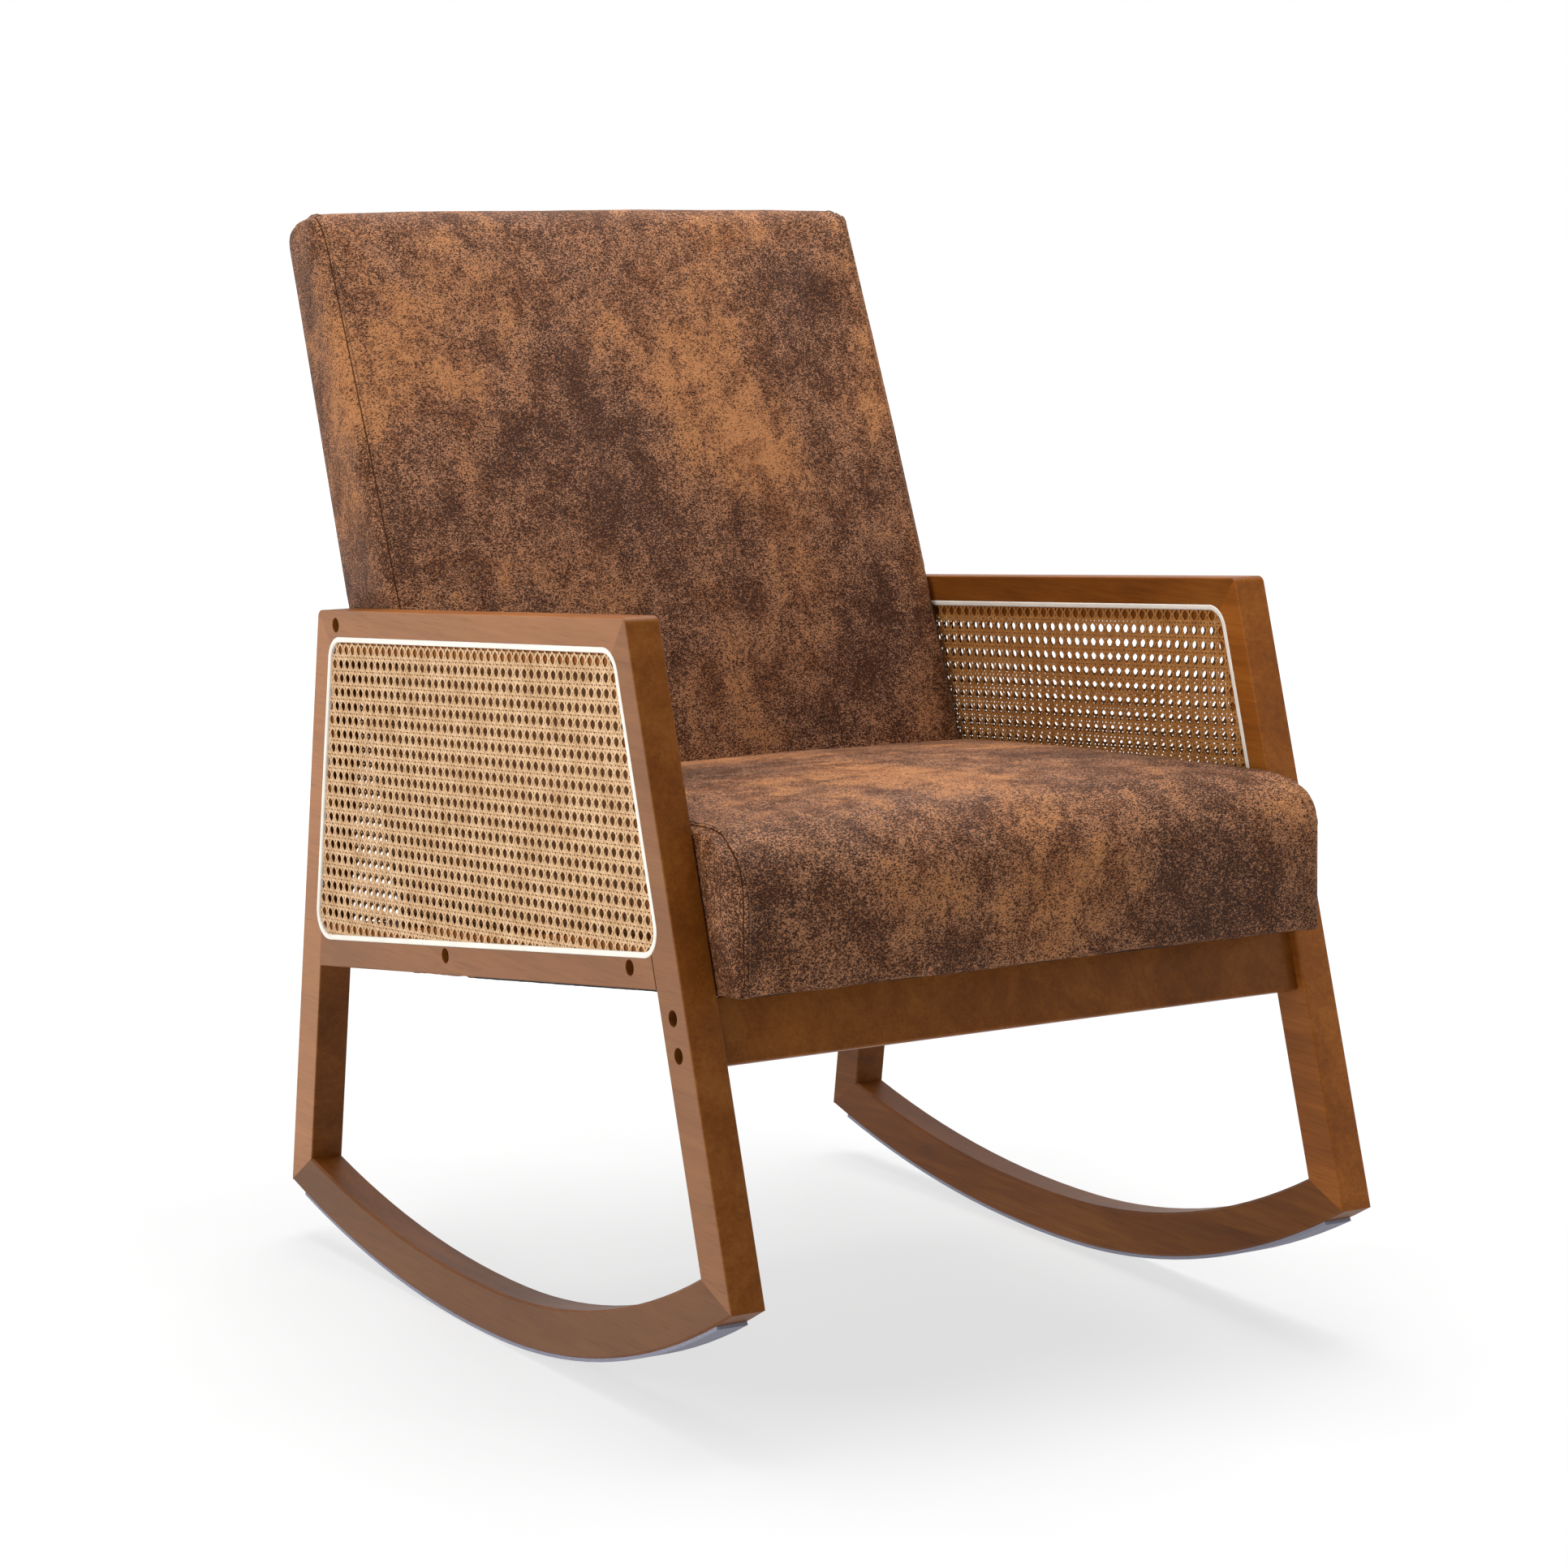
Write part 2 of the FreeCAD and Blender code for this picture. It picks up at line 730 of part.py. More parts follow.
def build_side_frame(side):
    """Arm rail, two legs, seat rail and rocker, glued and dowelled into one frame."""
    keep_piece(f"{side.name}_dowels", feature(f"{side.name}_dowel_set", dowel_set(side, 0)))
    bores = feature(f"{side.name}_dowel_bores", dowel_set(side, length("glue_gap")))
    arm_points = [
        arm_front_inner,
        arm_rear_inner,
        rear_round[1],
        rear_round[2],
        front_round[0],
        front_round[1],
    ]
    arm_arcs = {2: (arm_round, True), 4: (arm_round, True)}
    arm = flat_member(side, "arm_rail", arm_points, arm_arcs, True, [back_bolt_place])
    glued_member(side, "arm_rail", arm, bores)
    front_points = [
        front_foot,
        front_foot_inner,
        arm_front_inner,
        front_round[1],
        front_round[2],
    ]
    front = flat_member(
        side, "front_leg", front_points, {3: (arm_round, True)}, True, apron_bolt_places
    )
    glued_member(side, "front_leg", front, bores)
    rear_points = [rear_foot_inner, rear_foot, rear_round[0], rear_round[1], arm_rear_inner]
    rear = flat_member(side, "rear_leg", rear_points, {2: (arm_round, True)}, True, [])
    glued_member(side, "rear_leg", rear, bores)
    rail_points = [rail_front_low, rail_rear_low, rail_rear_high, rail_front_high]
    rail = flat_member(side, "side_rail", rail_points, {}, True, seat_bolt_places)
    glued_member(side, "side_rail", rail, bores)
    rocker_points = [front_foot, blend, rear_foot, rear_foot_inner, blend_inner, front_foot_inner]
    rocker_arcs = {
        0: (front_radius, True),
        1: (rear_radius, True),
        3: (inner_rear_radius, False),
        4: (inner_front_radius, False),
    }
    rocker = flat_member(side, "rocker", rocker_points, rocker_arcs, False, [])
    glued_member(side, "rocker", rocker, bores)


def build_panels(side):
    """A sheet of cane and its bead on the outer face of the frame, and another pair on the inner face."""
    sheet = size("cane_thickness")
    bead = size("bead_thickness")
    rebate = size("rebate_depth")
    placings = (
        ("outer", rebate - sheet, rebate - bead, 0),
        ("inner", thickness - rebate, thickness - rebate, 1),
    )
    for face, sheet_depth, bead_depth, seen in placings:
        cane = side.new_body(f"{face}_cane")
        side.pad(cane, [bead_inner_outline], sheet_depth, sheet)
        keep_piece(f"{side.name}_{face}_cane", cane)
        trim = side.new_body(f"{face}_bead")
        pad = side.pad(trim, [rebate_outline, bead_inner_outline], bead_depth, bead)
        depth = bead_depth.value + seen * bead.value
        x = -side.sign * depth
        names = []
        for index, edge in enumerate(pad.Shape.Edges, start=1):
            box = edge.BoundBox
            tolerance = bead.value / 4
            if abs(box.XMin - x) < tolerance and abs(box.XMax - x) < tolerance:
                names.append(f"Edge{index}")
        fillet = trim.newObject("PartDesign::Fillet", trim.Name + "_rounded")
        fillet.Base = (pad, names)
        fillet.Radius = length("bead_round")
        fillet.setExpression("Radius", "Sizes.bead_round")
        doc.recompute()
        keep_piece(f"{side.name}_{face}_bead", trim)


felt = size("felt_thickness")
outer_front_radius = kept("outer_front_radius", front_radius + felt)
outer_rear_radius = kept("outer_rear_radius", rear_radius + felt)


def on_arc(name, centre, radius, y):
    reach = kept(name + "_reach", y - centre[0])
    return kept_point(name, (y, centre[1] - root(radius * radius - reach * reach)))


def scaled_from(name, centre, point, ratio):
    return kept_point(
        name,
        (
            centre[0] + (point[0] - centre[0]) * ratio,
            centre[1] + (point[1] - centre[1]) * ratio,
        ),
    )


felt_front_y = kept("felt_front_y", front_y + size("felt_end_gap"))
felt_rear_y = kept("felt_rear_y", rear_foot_line - size("felt_end_gap"))
felt_front_top = on_arc("felt_front_top", front_centre, front_radius, felt_front_y)
felt_rear_top = on_arc("felt_rear_top", rear_centre, rear_radius, felt_rear_y)
front_growth = kept("front_growth", outer_front_radius / front_radius)
rear_growth = kept("rear_growth", outer_rear_radius / rear_radius)
felt_front_low = scaled_from("felt_front_low", front_centre, felt_front_top, front_growth)
felt_blend_low = scaled_from("felt_blend_low", rear_centre, blend, rear_growth)
felt_rear_low = scaled_from("felt_rear_low", rear_centre, felt_rear_top, rear_growth)
doc.recompute()


def build_felt(side):
    """Strip under the rocker, which is what the chair stands and rolls on."""
    body = side.new_body("felt_strip")
    points = [
        felt_front_low,
        felt_blend_low,
        felt_rear_low,
        felt_rear_top,
        blend,
        felt_front_top,
    ]
    arcs = {
        0: (outer_front_radius, True),
        1: (outer_rear_radius, True),
        3: (rear_radius, False),
        4: (front_radius, False),
    }
    side.pad(body, [(points, arcs)], (thickness - size("felt_width")) / 2, size("felt_width"))
    keep_piece(f"{side.name}_felt_strip", body)


# Bolts, inserts and nuts, each made lying along +X from its head's seat


def across(x, place):
    return Vector(x, place[0].value, place[1].value)


def rod(diameter, reach, start, direction):
    return Part.makeCylinder(diameter / 2, reach, start, direction)


def cap_bolt(reach, start, direction):
    """Socket head bolt whose head's underside is at start."""
    head = rod(
        length("bolt_head_diameter"), length("bolt_head_height"), start, direction * -1
    )
    shank = rod(length("bolt_diameter"), reach, start, direction)
    mouth = start - direction * length("bolt_head_height")
    circle_radius = length("hex_key_width") / math.sqrt(3)
    corners = []
    for turn in range(7):
        angle = math.radians(60 * turn)
        offset = Vector(0, math.cos(angle) * circle_radius, math.sin(angle) * circle_radius)
        corners.append(mouth + offset)
    socket = Part.Face(Part.makePolygon(corners)).extrude(direction * length("hex_socket_depth"))
    return head.fuse(shank).removeSplitter().cut(socket)


def threaded_insert(start, direction):
    """Insert nut that starts at the wood's face, bored to take the bolt."""
    outer = rod(length("insert_diameter"), length("insert_length"), start, direction)
    bore_diameter = length("bolt_diameter") + 2 * length("thread_gap")
    inner = rod(bore_diameter, length("insert_length"), start, direction)
    return outer.cut(inner)


half_width = length("overall_width") / 2
head_seat = half_width - length("counterbore_depth")
inner_face = half_width - length("frame_thickness")
cushion_half = inner_face - length("cushion_side_gap")
wood_half = cushion_half - length("cover_thickness") - length("side_padding")
plate_line = cushion_half - length("plate_inset")


def side_bolts(places, reach):
    """Bolts through both side frames at the given places."""
    return [
        cap_bolt(reach, across(side.sign * head_seat, place), Vector(-side.sign, 0, 0))
        for side in SIDES
        for place in places
    ]


def side_inserts(places):
    return [
        threaded_insert(across(side.sign * wood_half, place), Vector(-side.sign, 0, 0))
        for side in SIDES
        for place in places
    ]


def insert_bores(places):
    gap = 2 * length("thread_gap")
    return [
        rod(
            length("insert_diameter") + gap,
            length("insert_bore_depth"),
            across(side.sign * wood_half, place),
            Vector(-side.sign, 0, 0),
        )
        for side in SIDES
        for place in places
    ]


def cloth_holes(places):
    """Holes that the bolts pass through in covers and side padding."""
    return [
        rod(
            length("bolt_hole_diameter"),
            inner_face - wood_half + length("overrun"),
            across(side.sign * inner_face, place),
            Vector(-side.sign, 0, 0),
        )
        for side in SIDES
        for place in places
    ]


def build_side_bolts():
    reach = length("bolt_length")
    for name, places in (("seat", seat_bolt_places), ("back", [back_bolt_place])):
        bolts = Part.makeCompound(side_bolts(places, reach))
        keep_piece(f"{name}_bolts", feature(f"{name}_bolt_set", bolts))
        nuts = Part.makeCompound(side_inserts(places))
        keep_piece(f"{name}_insert_nuts", feature(f"{name}_insert_set", nuts))


# Apron: square to the front legs, a little behind their faces


def build_apron():
    near_top = kept_point("apron_near_top", plus(apron_face, down_front, apron_drop))
    near_low = kept_point("apron_near_low", plus(near_top, down_front, size("apron_depth")))
    into = left_of(down_front)
    far_low = kept_point("apron_far_low", plus(near_low, into, size("apron_thickness")))
    far_top = kept_point("apron_far_top", plus(near_top, into, size("apron_thickness")))
    doc.recompute()
    body = doc.addObject("PartDesign::Body", "front_apron_body")
    sketch = side_sketch(body, "front_apron_outline", zero)
    draw_outline(sketch, [near_low, far_low, far_top, near_top], {})
    pad = body.newObject("PartDesign::Pad", "front_apron_pad")
    pad.Profile = sketch
    pad.setExpression("Length", "Sizes.overall_width - 2 * Sizes.frame_thickness")
    pad.Midplane = True
    doc.recompute()
    long_edges = [
        f"Edge{index}"
        for index, edge in enumerate(pad.Shape.Edges, start=1)
        if edge.BoundBox.XLength > inner_face
    ]
    fillet = body.newObject("PartDesign::Fillet", "front_apron_eased")
    fillet.Base = (pad, long_edges)
    fillet.Radius = length("edge_ease")
    fillet.setExpression("Radius", "Sizes.edge_ease")
    doc.recompute()
    gap = 2 * length("thread_gap")
    square = Vector(0, into[0].value, into[1].value)
    bolts, nuts, bores = [], [], []
    for side in SIDES:
        inwards = Vector(-side.sign, 0, 0)
        for place in apron_bolt_places:
            bolts.append(
                cap_bolt(length("apron_bolt_length"), across(side.sign * head_seat, place), inwards)
            )
            nut_middle = across(side.sign * (inner_face - length("barrel_nut_setback")), place)
            nut_reach = length("barrel_nut_length")
            nut_start = nut_middle - square * (nut_reach / 2)
            nut = rod(length("barrel_nut_diameter"), nut_reach, nut_start, square)
            tapped = rod(
                length("bolt_diameter") + gap,
                length("barrel_nut_diameter") + length("overrun"),
                nut_middle - inwards * (length("barrel_nut_diameter") + length("overrun")) / 2,
                inwards,
            )
            nuts.append(nut.cut(tapped))
            bores.append(
                rod(
                    length("barrel_nut_diameter") + gap,
                    nut_reach + length("overrun"),
                    nut_start,
                    square,
                )
            )
            bores.append(
                rod(
                    length("bolt_hole_diameter"),
                    length("apron_bolt_length") + gap,
                    across(side.sign * head_seat, place),
                    inwards,
                )
            )
    tool = feature("apron_bores", Part.makeCompound(bores))
    keep_piece("front_apron", cut("front_apron_bored", body, tool))
    keep_piece("apron_bolts", feature("apron_bolt_set", Part.makeCompound(bolts)))
    keep_piece("apron_barrel_nuts", feature("apron_nut_set", Part.makeCompound(nuts)))


# Cushion forms: a side profile with four rounded corners, lofted across the width


def offset_corners(corners, inset):
    """Corners of the profile moved in by inset, kept parallel to their edges."""
    count = len(corners)
    lines = []
    for index in range(count):
        start, end = corners[index], corners[(index + 1) % count]
        run = (end - start).normalize()
        inwards = Vector(0, -run.z, run.y)
        lines.append((start + inwards * inset, run))
    moved = []
    for index in range(count):
        start_a, run_a = lines[index - 1]
        start_b, run_b = lines[index]
        gap = start_b - start_a
        travel = (gap.y * run_b.z - gap.z * run_b.y) / (run_a.y * run_b.z - run_a.z * run_b.y)
        moved.append(start_a + run_a * travel)
    return moved


def profile_wire(x, corners, radii, bows):
    """Closed profile at one station. Each bow lifts its edge outwards at the middle."""
    count = len(corners)
    ends = []
    for index in range(count):
        corner = corners[index]
        back = (corners[index - 1] - corner).normalize()
        ahead = (corners[(index + 1) % count] - corner).normalize()
        half_angle = back.getAngle(ahead) / 2
        tangent = radii[index] / math.tan(half_angle)
        outward = (back + ahead).normalize() * -1
        centre_gap = radii[index] / math.sin(half_angle)
        middle = corner - outward * (centre_gap - radii[index])
        ends.append((corner + back * tangent, middle, corner + ahead * tangent))
    shift = Vector(x, 0, 0)
    edges = []
    for index in range(count):
        first, middle, last = ends[index]
        edges.append(Part.Arc(first + shift, middle + shift, last + shift).toShape())
        start, end = last, ends[(index + 1) % count][0]
        if bows[index] == 0:
            edges.append(Part.makeLine(start + shift, end + shift))
            continue
        run = (end - start).normalize()
        outward = Vector(0, run.z, -run.y)
        lifted = (start + end) / 2 + outward * bows[index]
        edges.append(Part.Arc(start + shift, lifted + shift, end + shift).toShape())
    return Part.Wire(edges)


def cushion(corners, radii, bows, crowns, inset, reach):
    """Crowned solid: the bows grow by the crowns towards the middle, and the ends are drawn in."""
    half = reach - inset
    wires = []
    stations = zip(STATION_SHARES, DRAWN_IN_SHARES, CROWN_SHARES)
    for share, drawn_share, crown_share in stations:
        moved = offset_corners(corners, inset + length("drawn_in") * drawn_share)
        lifts = [bow + crown * crown_share for bow, crown in zip(bows, crowns)]
        trimmed = [max(radius - inset, length("cover_thickness")) for radius in radii]
        wires.append(profile_wire(half * share, moved, trimmed, lifts))
    return Part.makeLoft(wires, True, False)


rail_run = side_point(along_rail)
rail_rise = Vector(0, -rail_run.z, rail_run.y)
front_edge = front_y.value


def on_seat_line(setback):
    """Point of the seat's underside at a distance behind the front foot."""
    start = side_point(seat_foot)
    return start + rail_run * ((front_edge + setback - start.y) / rail_run.y)


seat_corner = on_seat_line(length("seat_front_setback"))
back_low_front = on_seat_line(length("back_front_setback"))
back_low_rear = on_seat_line(length("back_rear_setback"))
front_lean = Vector(0, BACK_FRONT_LEAN_SHARE, 1).normalize()
rear_lean = Vector(0, BACK_REAR_LEAN_SHARE, 1).normalize()


def meet(start_a, run_a, start_b, run_b):
    gap = start_b - start_a
    travel = (gap.y * run_b.z - gap.z * run_b.y) / (run_a.y * run_b.z - run_a.z * run_b.y)
    return start_a + run_a * travel


seat_depth = (back_low_front - seat_corner).Length
seat_place = Placement(seat_corner, Rotation(Vector(0, 1, 0), rail_run))
back_place = Placement(back_low_rear, Rotation(Vector(0, 0, 1), rear_lean))

# Profile corners run counter-clockwise in the side view, from the lower front
seat_nose = meet(
    seat_corner,
    Vector(0, 0, 1),
    seat_corner + Vector(0, 0, length("seat_front_height")),
    Vector(0, 1, -SEAT_TOP_FALL_SHARE),
)
seat_rear_start = back_low_front - rail_run * length("seat_back_gap")
seat_corners = [
    seat_corner,
    seat_rear_start,
    meet(seat_rear_start, front_lean, seat_nose, Vector(0, 1, -SEAT_TOP_FALL_SHARE)),
    seat_nose,
]
seat_radii = [
    length("seat_hem_radius"),
    length("seat_rear_radius"),
    length("seat_rear_radius"),
    length("seat_nose_radius"),
]
seat_bows = [0.0, 0.0, length("seat_top_bow"), length("seat_side_bow")]
seat_crowns = [0.0, 0.0, length("seat_crown"), length("seat_nose_bow")]

back_top_line = Vector(0, 0, length("overall_height") - length("back_top_crown"))
back_nose = meet(back_low_front, front_lean, back_top_line, Vector(0, 1, 0))
back_crest = meet(back_low_rear, rear_lean, back_nose, Vector(0, 1, -BACK_TOP_FALL_SHARE))
back_corners = [back_low_front, back_low_rear, back_crest, back_nose]
back_radii = [
    length("back_hem_radius"),
    length("back_hem_radius"),
    length("back_top_radius"),
    length("back_nose_radius"),
]
back_bows = [
    0.0,
    length("back_rear_bow"),
    length("back_top_bow"),
    length("back_front_bow"),
]
back_crowns = [0.0, length("back_rear_crown"), length("back_top_crown"), length("back_crown")]


def placed_box(place, low, high):
    """Box between two corners of a tilted frame, as a shape."""
    box = Part.makeBox(high.x - low.x, high.y - low.y, high.z - low.z, low)
    return box.transformed(place.toMatrix())


def wood(label, place, low, extent_names, extents, bores=()):
    """Straight wooden bar in a tilted frame: a box bound to the sheet, bored where asked."""
    box = doc.addObject("Part::Box", label + "_blank")
    box.Placement = place.multiply(Placement(low, Rotation()))
    for side_name, formula, value in zip(("Length", "Width", "Height"), extent_names, extents):
        setattr(box, side_name, value)
        box.setExpression(side_name, formula)
    if bores:
        tool = feature(label + "_bores", Part.makeCompound(bores))
        keep_piece(label, cut(label + "_bored", box, tool))
    else:
        keep_piece(label, box)


seat_rail_reach = kept(
    "seat_rail_reach",
    (size("back_front_setback") - size("seat_front_setback")) * rail_slant
    - size("seat_overhang")
    - size("seat_end_gap"),
)
cushion_width = kept(
    "cushion_width",
    size("overall_width") - 2 * size("frame_thickness") - 2 * size("cushion_side_gap"),
)
wood_span = kept(
    "wood_span", cushion_width - 2 * size("cover_thickness") - 2 * size("side_padding")
)
seat_cross_span = kept("seat_cross_span", wood_span - 2 * size("seat_rail_thickness"))
back_cross_span = kept("back_cross_span", wood_span - 2 * size("post_width"))
doc.recompute()


def wood_screw(start, direction):
    """Pan head screw whose head's underside is at start."""
    head = rod(length("screw_head_diameter"), length("screw_head_height"), start, direction * -1)
    shank = rod(length("screw_diameter"), length("screw_length"), start, direction)
    return head.fuse(shank).removeSplitter()


def screw_bore(start, direction):
    gap = length("thread_gap")
    return rod(length("screw_diameter") + 2 * gap, length("screw_length") + gap, start, direction)


def placed(place, shapes):
    """Shapes made in a tilted frame, gathered and moved to where that frame lies."""
    group = Part.makeCompound(shapes)
    group.Placement = place
    return group


def corner_screws(front, rear, level):
    """Start and direction of the two screws that fix each corner block."""
    half = seat_cross_span.value / 2
    leg = length("corner_block_leg")
    sink = length("screw_head_diameter") / 2
    places = []
    for x, toward_x in ((-half, 1), (half, -1)):
        for u, toward_u in ((front, 1), (rear, -1)):
            for share_x, share_u, driven in (
                (CORNER_SCREW_SHARE, 1 - CORNER_SCREW_SHARE, Vector(-toward_x, 0, 0)),
                (1 - CORNER_SCREW_SHARE, CORNER_SCREW_SHARE, Vector(0, -toward_u, 0)),
            ):
                start = Vector(x + leg * share_x * toward_x, u + leg * share_u * toward_u, level)
                places.append((start + driven * sink, driven))
    return places


def build_seat_frame():
    """Four rails and corner blocks, webbed on top."""
    rail = length("seat_rail_thickness")
    high = length("seat_rail_height")
    lift = length("seat_rail_lift")
    front = length("seat_overhang")
    reach = seat_rail_reach.value
    rear = front + reach
    top = lift + high
    screws = corner_screws(front + rail, rear - rail, top - length("corner_block_height") / 2)
    screw_tool = placed(seat_place, [screw_bore(*place) for place in screws])
    names = ("Sizes.seat_rail_thickness", "Layout.seat_rail_reach", "Sizes.seat_rail_height")
    for side in SIDES:
        x = -wood_half if side.sign < 0 else wood_half - rail
        bores = insert_bores(seat_bolt_places) + [screw_tool]
        low = Vector(x, front, lift)
        wood(f"seat_{side.name}_rail", seat_place, low, names, (rail, reach, high), bores)
    names = ("Layout.seat_cross_span", "Sizes.seat_rail_thickness", "Sizes.seat_rail_height")
    extents = (seat_cross_span.value, rail, high)
    low = Vector(-seat_cross_span.value / 2, front, lift)
    wood("seat_front_rail", seat_place, low, names, extents, [screw_tool])
    low = Vector(-seat_cross_span.value / 2, rear - rail, lift)
    plate_tool = placed(seat_place, [screw_bore(*place) for place in plate_screws()])
    wood("seat_rear_rail", seat_place, low, names, extents, [screw_tool, plate_tool])
    build_corner_blocks(front + rail, rear - rail, top, screws)
    build_seat_webbing(front, rear, top)


def build_corner_blocks(front, rear, top, screws):
    """Triangular blocks glued and screwed into the corners of the seat frame."""
    leg = length("corner_block_leg")
    deep = length("corner_block_height")
    half = seat_cross_span.value / 2
    tools = []
    for start, driven in screws:
        tools.append(rod(length("screw_head_diameter"), leg, start, driven * -1))
        tools.append(screw_bore(start, driven))
    tool = Part.makeCompound(tools)
    blocks = []
    for x, toward_x in ((-half, 1), (half, -1)):
        for u, toward_u in ((front, 1), (rear, -1)):
            corner = Vector(x, u, top - deep)
            along_x = corner + Vector(leg * toward_x, 0, 0)
            along_u = corner + Vector(0, leg * toward_u, 0)
            face = Part.Face(Part.makePolygon([corner, along_x, along_u, corner]))
            blocks.append(face.extrude(Vector(0, 0, deep)).cut(tool))
    block_set = feature("corner_block_set", Part.makeCompound(blocks), seat_place)
    keep_piece("seat_corner_blocks", block_set)
    shapes = [wood_screw(*place) for place in screws]
    screw_set = feature("corner_screw_set", Part.makeCompound(shapes), seat_place)
    keep_piece("corner_block_screws", screw_set)


def strap_centres(low, high, shares):
    return [low + (high - low) * share for share in shares]


def build_seat_webbing(front, rear, level):
    """Elastic straps across the frame, and a second layer along it."""
    width = length("webbing_width")
    thick = length("webbing_thickness")
    landing = length("webbing_landing")
    half = seat_cross_span.value / 2 + landing
    straps = []
    rail = length("seat_rail_thickness")
    for u in strap_centres(front + rail, rear - rail, SEAT_STRAP_SHARES):
        straps.append(
            Part.makeBox(2 * half, width, thick, Vector(-half, u - width / 2, level))
        )
    for x in strap_centres(-half, half, SEAT_STRAP_SHARES):
        run = rear - front - 2 * (rail - landing)
        start = Vector(x - width / 2, front + rail - landing, level + thick)
        straps.append(Part.makeBox(width, run, thick, start))
    strap_set = feature("seat_webbing_set", Part.makeCompound(straps), seat_place)
    keep_piece("seat_webbing", strap_set)


def build_seat_upholstery():
    gap = length("soft_gap")
    skin = length("cover_thickness")
    overrun = length("overrun")
    outer = cushion(seat_corners, seat_radii, seat_bows, seat_crowns, 0.0, cushion_half)
    lining = cushion(seat_corners, seat_radii, seat_bows, seat_crowns, skin, cushion_half)
    filling = cushion(seat_corners, seat_radii, seat_bows, seat_crowns, skin + gap, cushion_half)
    frame_top = length("seat_rail_lift") + length("seat_rail_height")
    top = frame_top + 2 * length("webbing_thickness") + gap
    core = placed_box(
        seat_place,
        Vector(-wood_half - gap, length("seat_overhang") - gap, -overrun),
        Vector(wood_half + gap, seat_depth + length("seat_front_height"), top),
    )
    holes = Part.makeCompound(cloth_holes(seat_bolt_places))
    foam = filling.cut(core).cut(holes)
    keep_piece("seat_foam", feature("seat_foam_block", foam))
    hem = length("seat_hem_width")
    window = placed_box(
        seat_place,
        Vector(hem - cushion_half, length("seat_overhang") + hem, -overrun),
        Vector(cushion_half - hem, seat_depth - hem, overrun),
    )
    plate_holes = placed(seat_place, [screw_bore(*place) for place in plate_screws()])
    cover = outer.cut(lining).cut(window).cut(holes).cut(plate_holes)
    keep_piece("seat_cover", feature("seat_cover_skin", cover))
    inset = length("dust_cover_inset")
    cloth = doc.addObject("Part::Box", "dust_cover_cloth")
    low = Vector(inset - cushion_half, inset, -gap / 2 - length("dust_cover_thickness"))
    cloth.Placement = seat_place.multiply(Placement(low, Rotation()))
    cloth.setExpression("Length", "Layout.cushion_width - 2 * Sizes.dust_cover_inset")
    cloth.Width = seat_depth - inset - length("dust_cover_rear_inset")
    cloth.setExpression("Height", "Sizes.dust_cover_thickness")
    keep_piece("seat_dust_cover", cloth)


def post_reach():
    """Length of the back's posts above its lower rear corner. They stop short of its top."""
    return (back_crest - back_low_rear).Length - length("post_top_gap")


def build_back_frame():
    """Two posts and three cross rails, webbed in front."""
    deep = length("post_depth")
    wide = length("post_width")
    rear = -length("post_rear_gap")
    reach = post_reach()
    front = rear - deep
    foot = length("post_foot_cut")
    blank_reach = kept("post_blank_reach", as_measure(reach + foot))
    names = ("Sizes.post_width", "Sizes.post_depth", blank_reach.formula)
    extents = (wide, deep, reach + foot)
    below_foot = placed_box(
        seat_place,
        Vector(-cushion_half, 0, -foot - deep),
        Vector(cushion_half, seat_depth * 2, length("seat_rail_lift")),
    )
    for side in SIDES:
        x = -wood_half if side.sign < 0 else wood_half - wide
        bores = insert_bores([back_bolt_place]) + [below_foot]
        wood(f"back_{side.name}_post", back_place, Vector(x, front, -foot), names, extents, bores)
    half = back_cross_span.value / 2
    high = length("back_rail_height")
    thick = length("back_rail_thickness")
    names = ("Layout.back_cross_span", "Sizes.back_rail_thickness", "Sizes.back_rail_height")
    extents = (back_cross_span.value, thick, high)
    levels = (
        ("back_top_rail", reach - high),
        ("back_middle_rail", reach * BACK_MIDDLE_RAIL_SHARE),
    )
    for label, level in levels:
        low = Vector(-half, front, level)
        wood(label, back_place, low, names, extents)
    foot_names = (
        "Layout.back_cross_span",
        "Sizes.back_foot_rail_depth",
        "Sizes.back_foot_rail_height",
    )
    foot_extents = (
        back_cross_span.value,
        length("back_foot_rail_depth"),
        length("back_foot_rail_height"),
    )
    foot_low = Vector(-half, seat_depth + length("back_foot_rail_gap"), length("seat_rail_lift"))
    plate_tool = placed(seat_place, [screw_bore(*place) for place in plate_screws()])
    wood("back_foot_rail", seat_place, foot_low, foot_names, foot_extents, [plate_tool])
    straps = []
    width = length("webbing_width")
    webbing = length("webbing_thickness")
    strap_half = half + length("webbing_landing")
    for level in strap_centres(0, reach, BACK_STRAP_SHARES):
        low = Vector(-strap_half, front - webbing, level - width / 2)
        straps.append(Part.makeBox(2 * strap_half, webbing, width, low))
    strap_set = feature("back_webbing_set", Part.makeCompound(straps), back_place)
    keep_piece("back_webbing", strap_set)


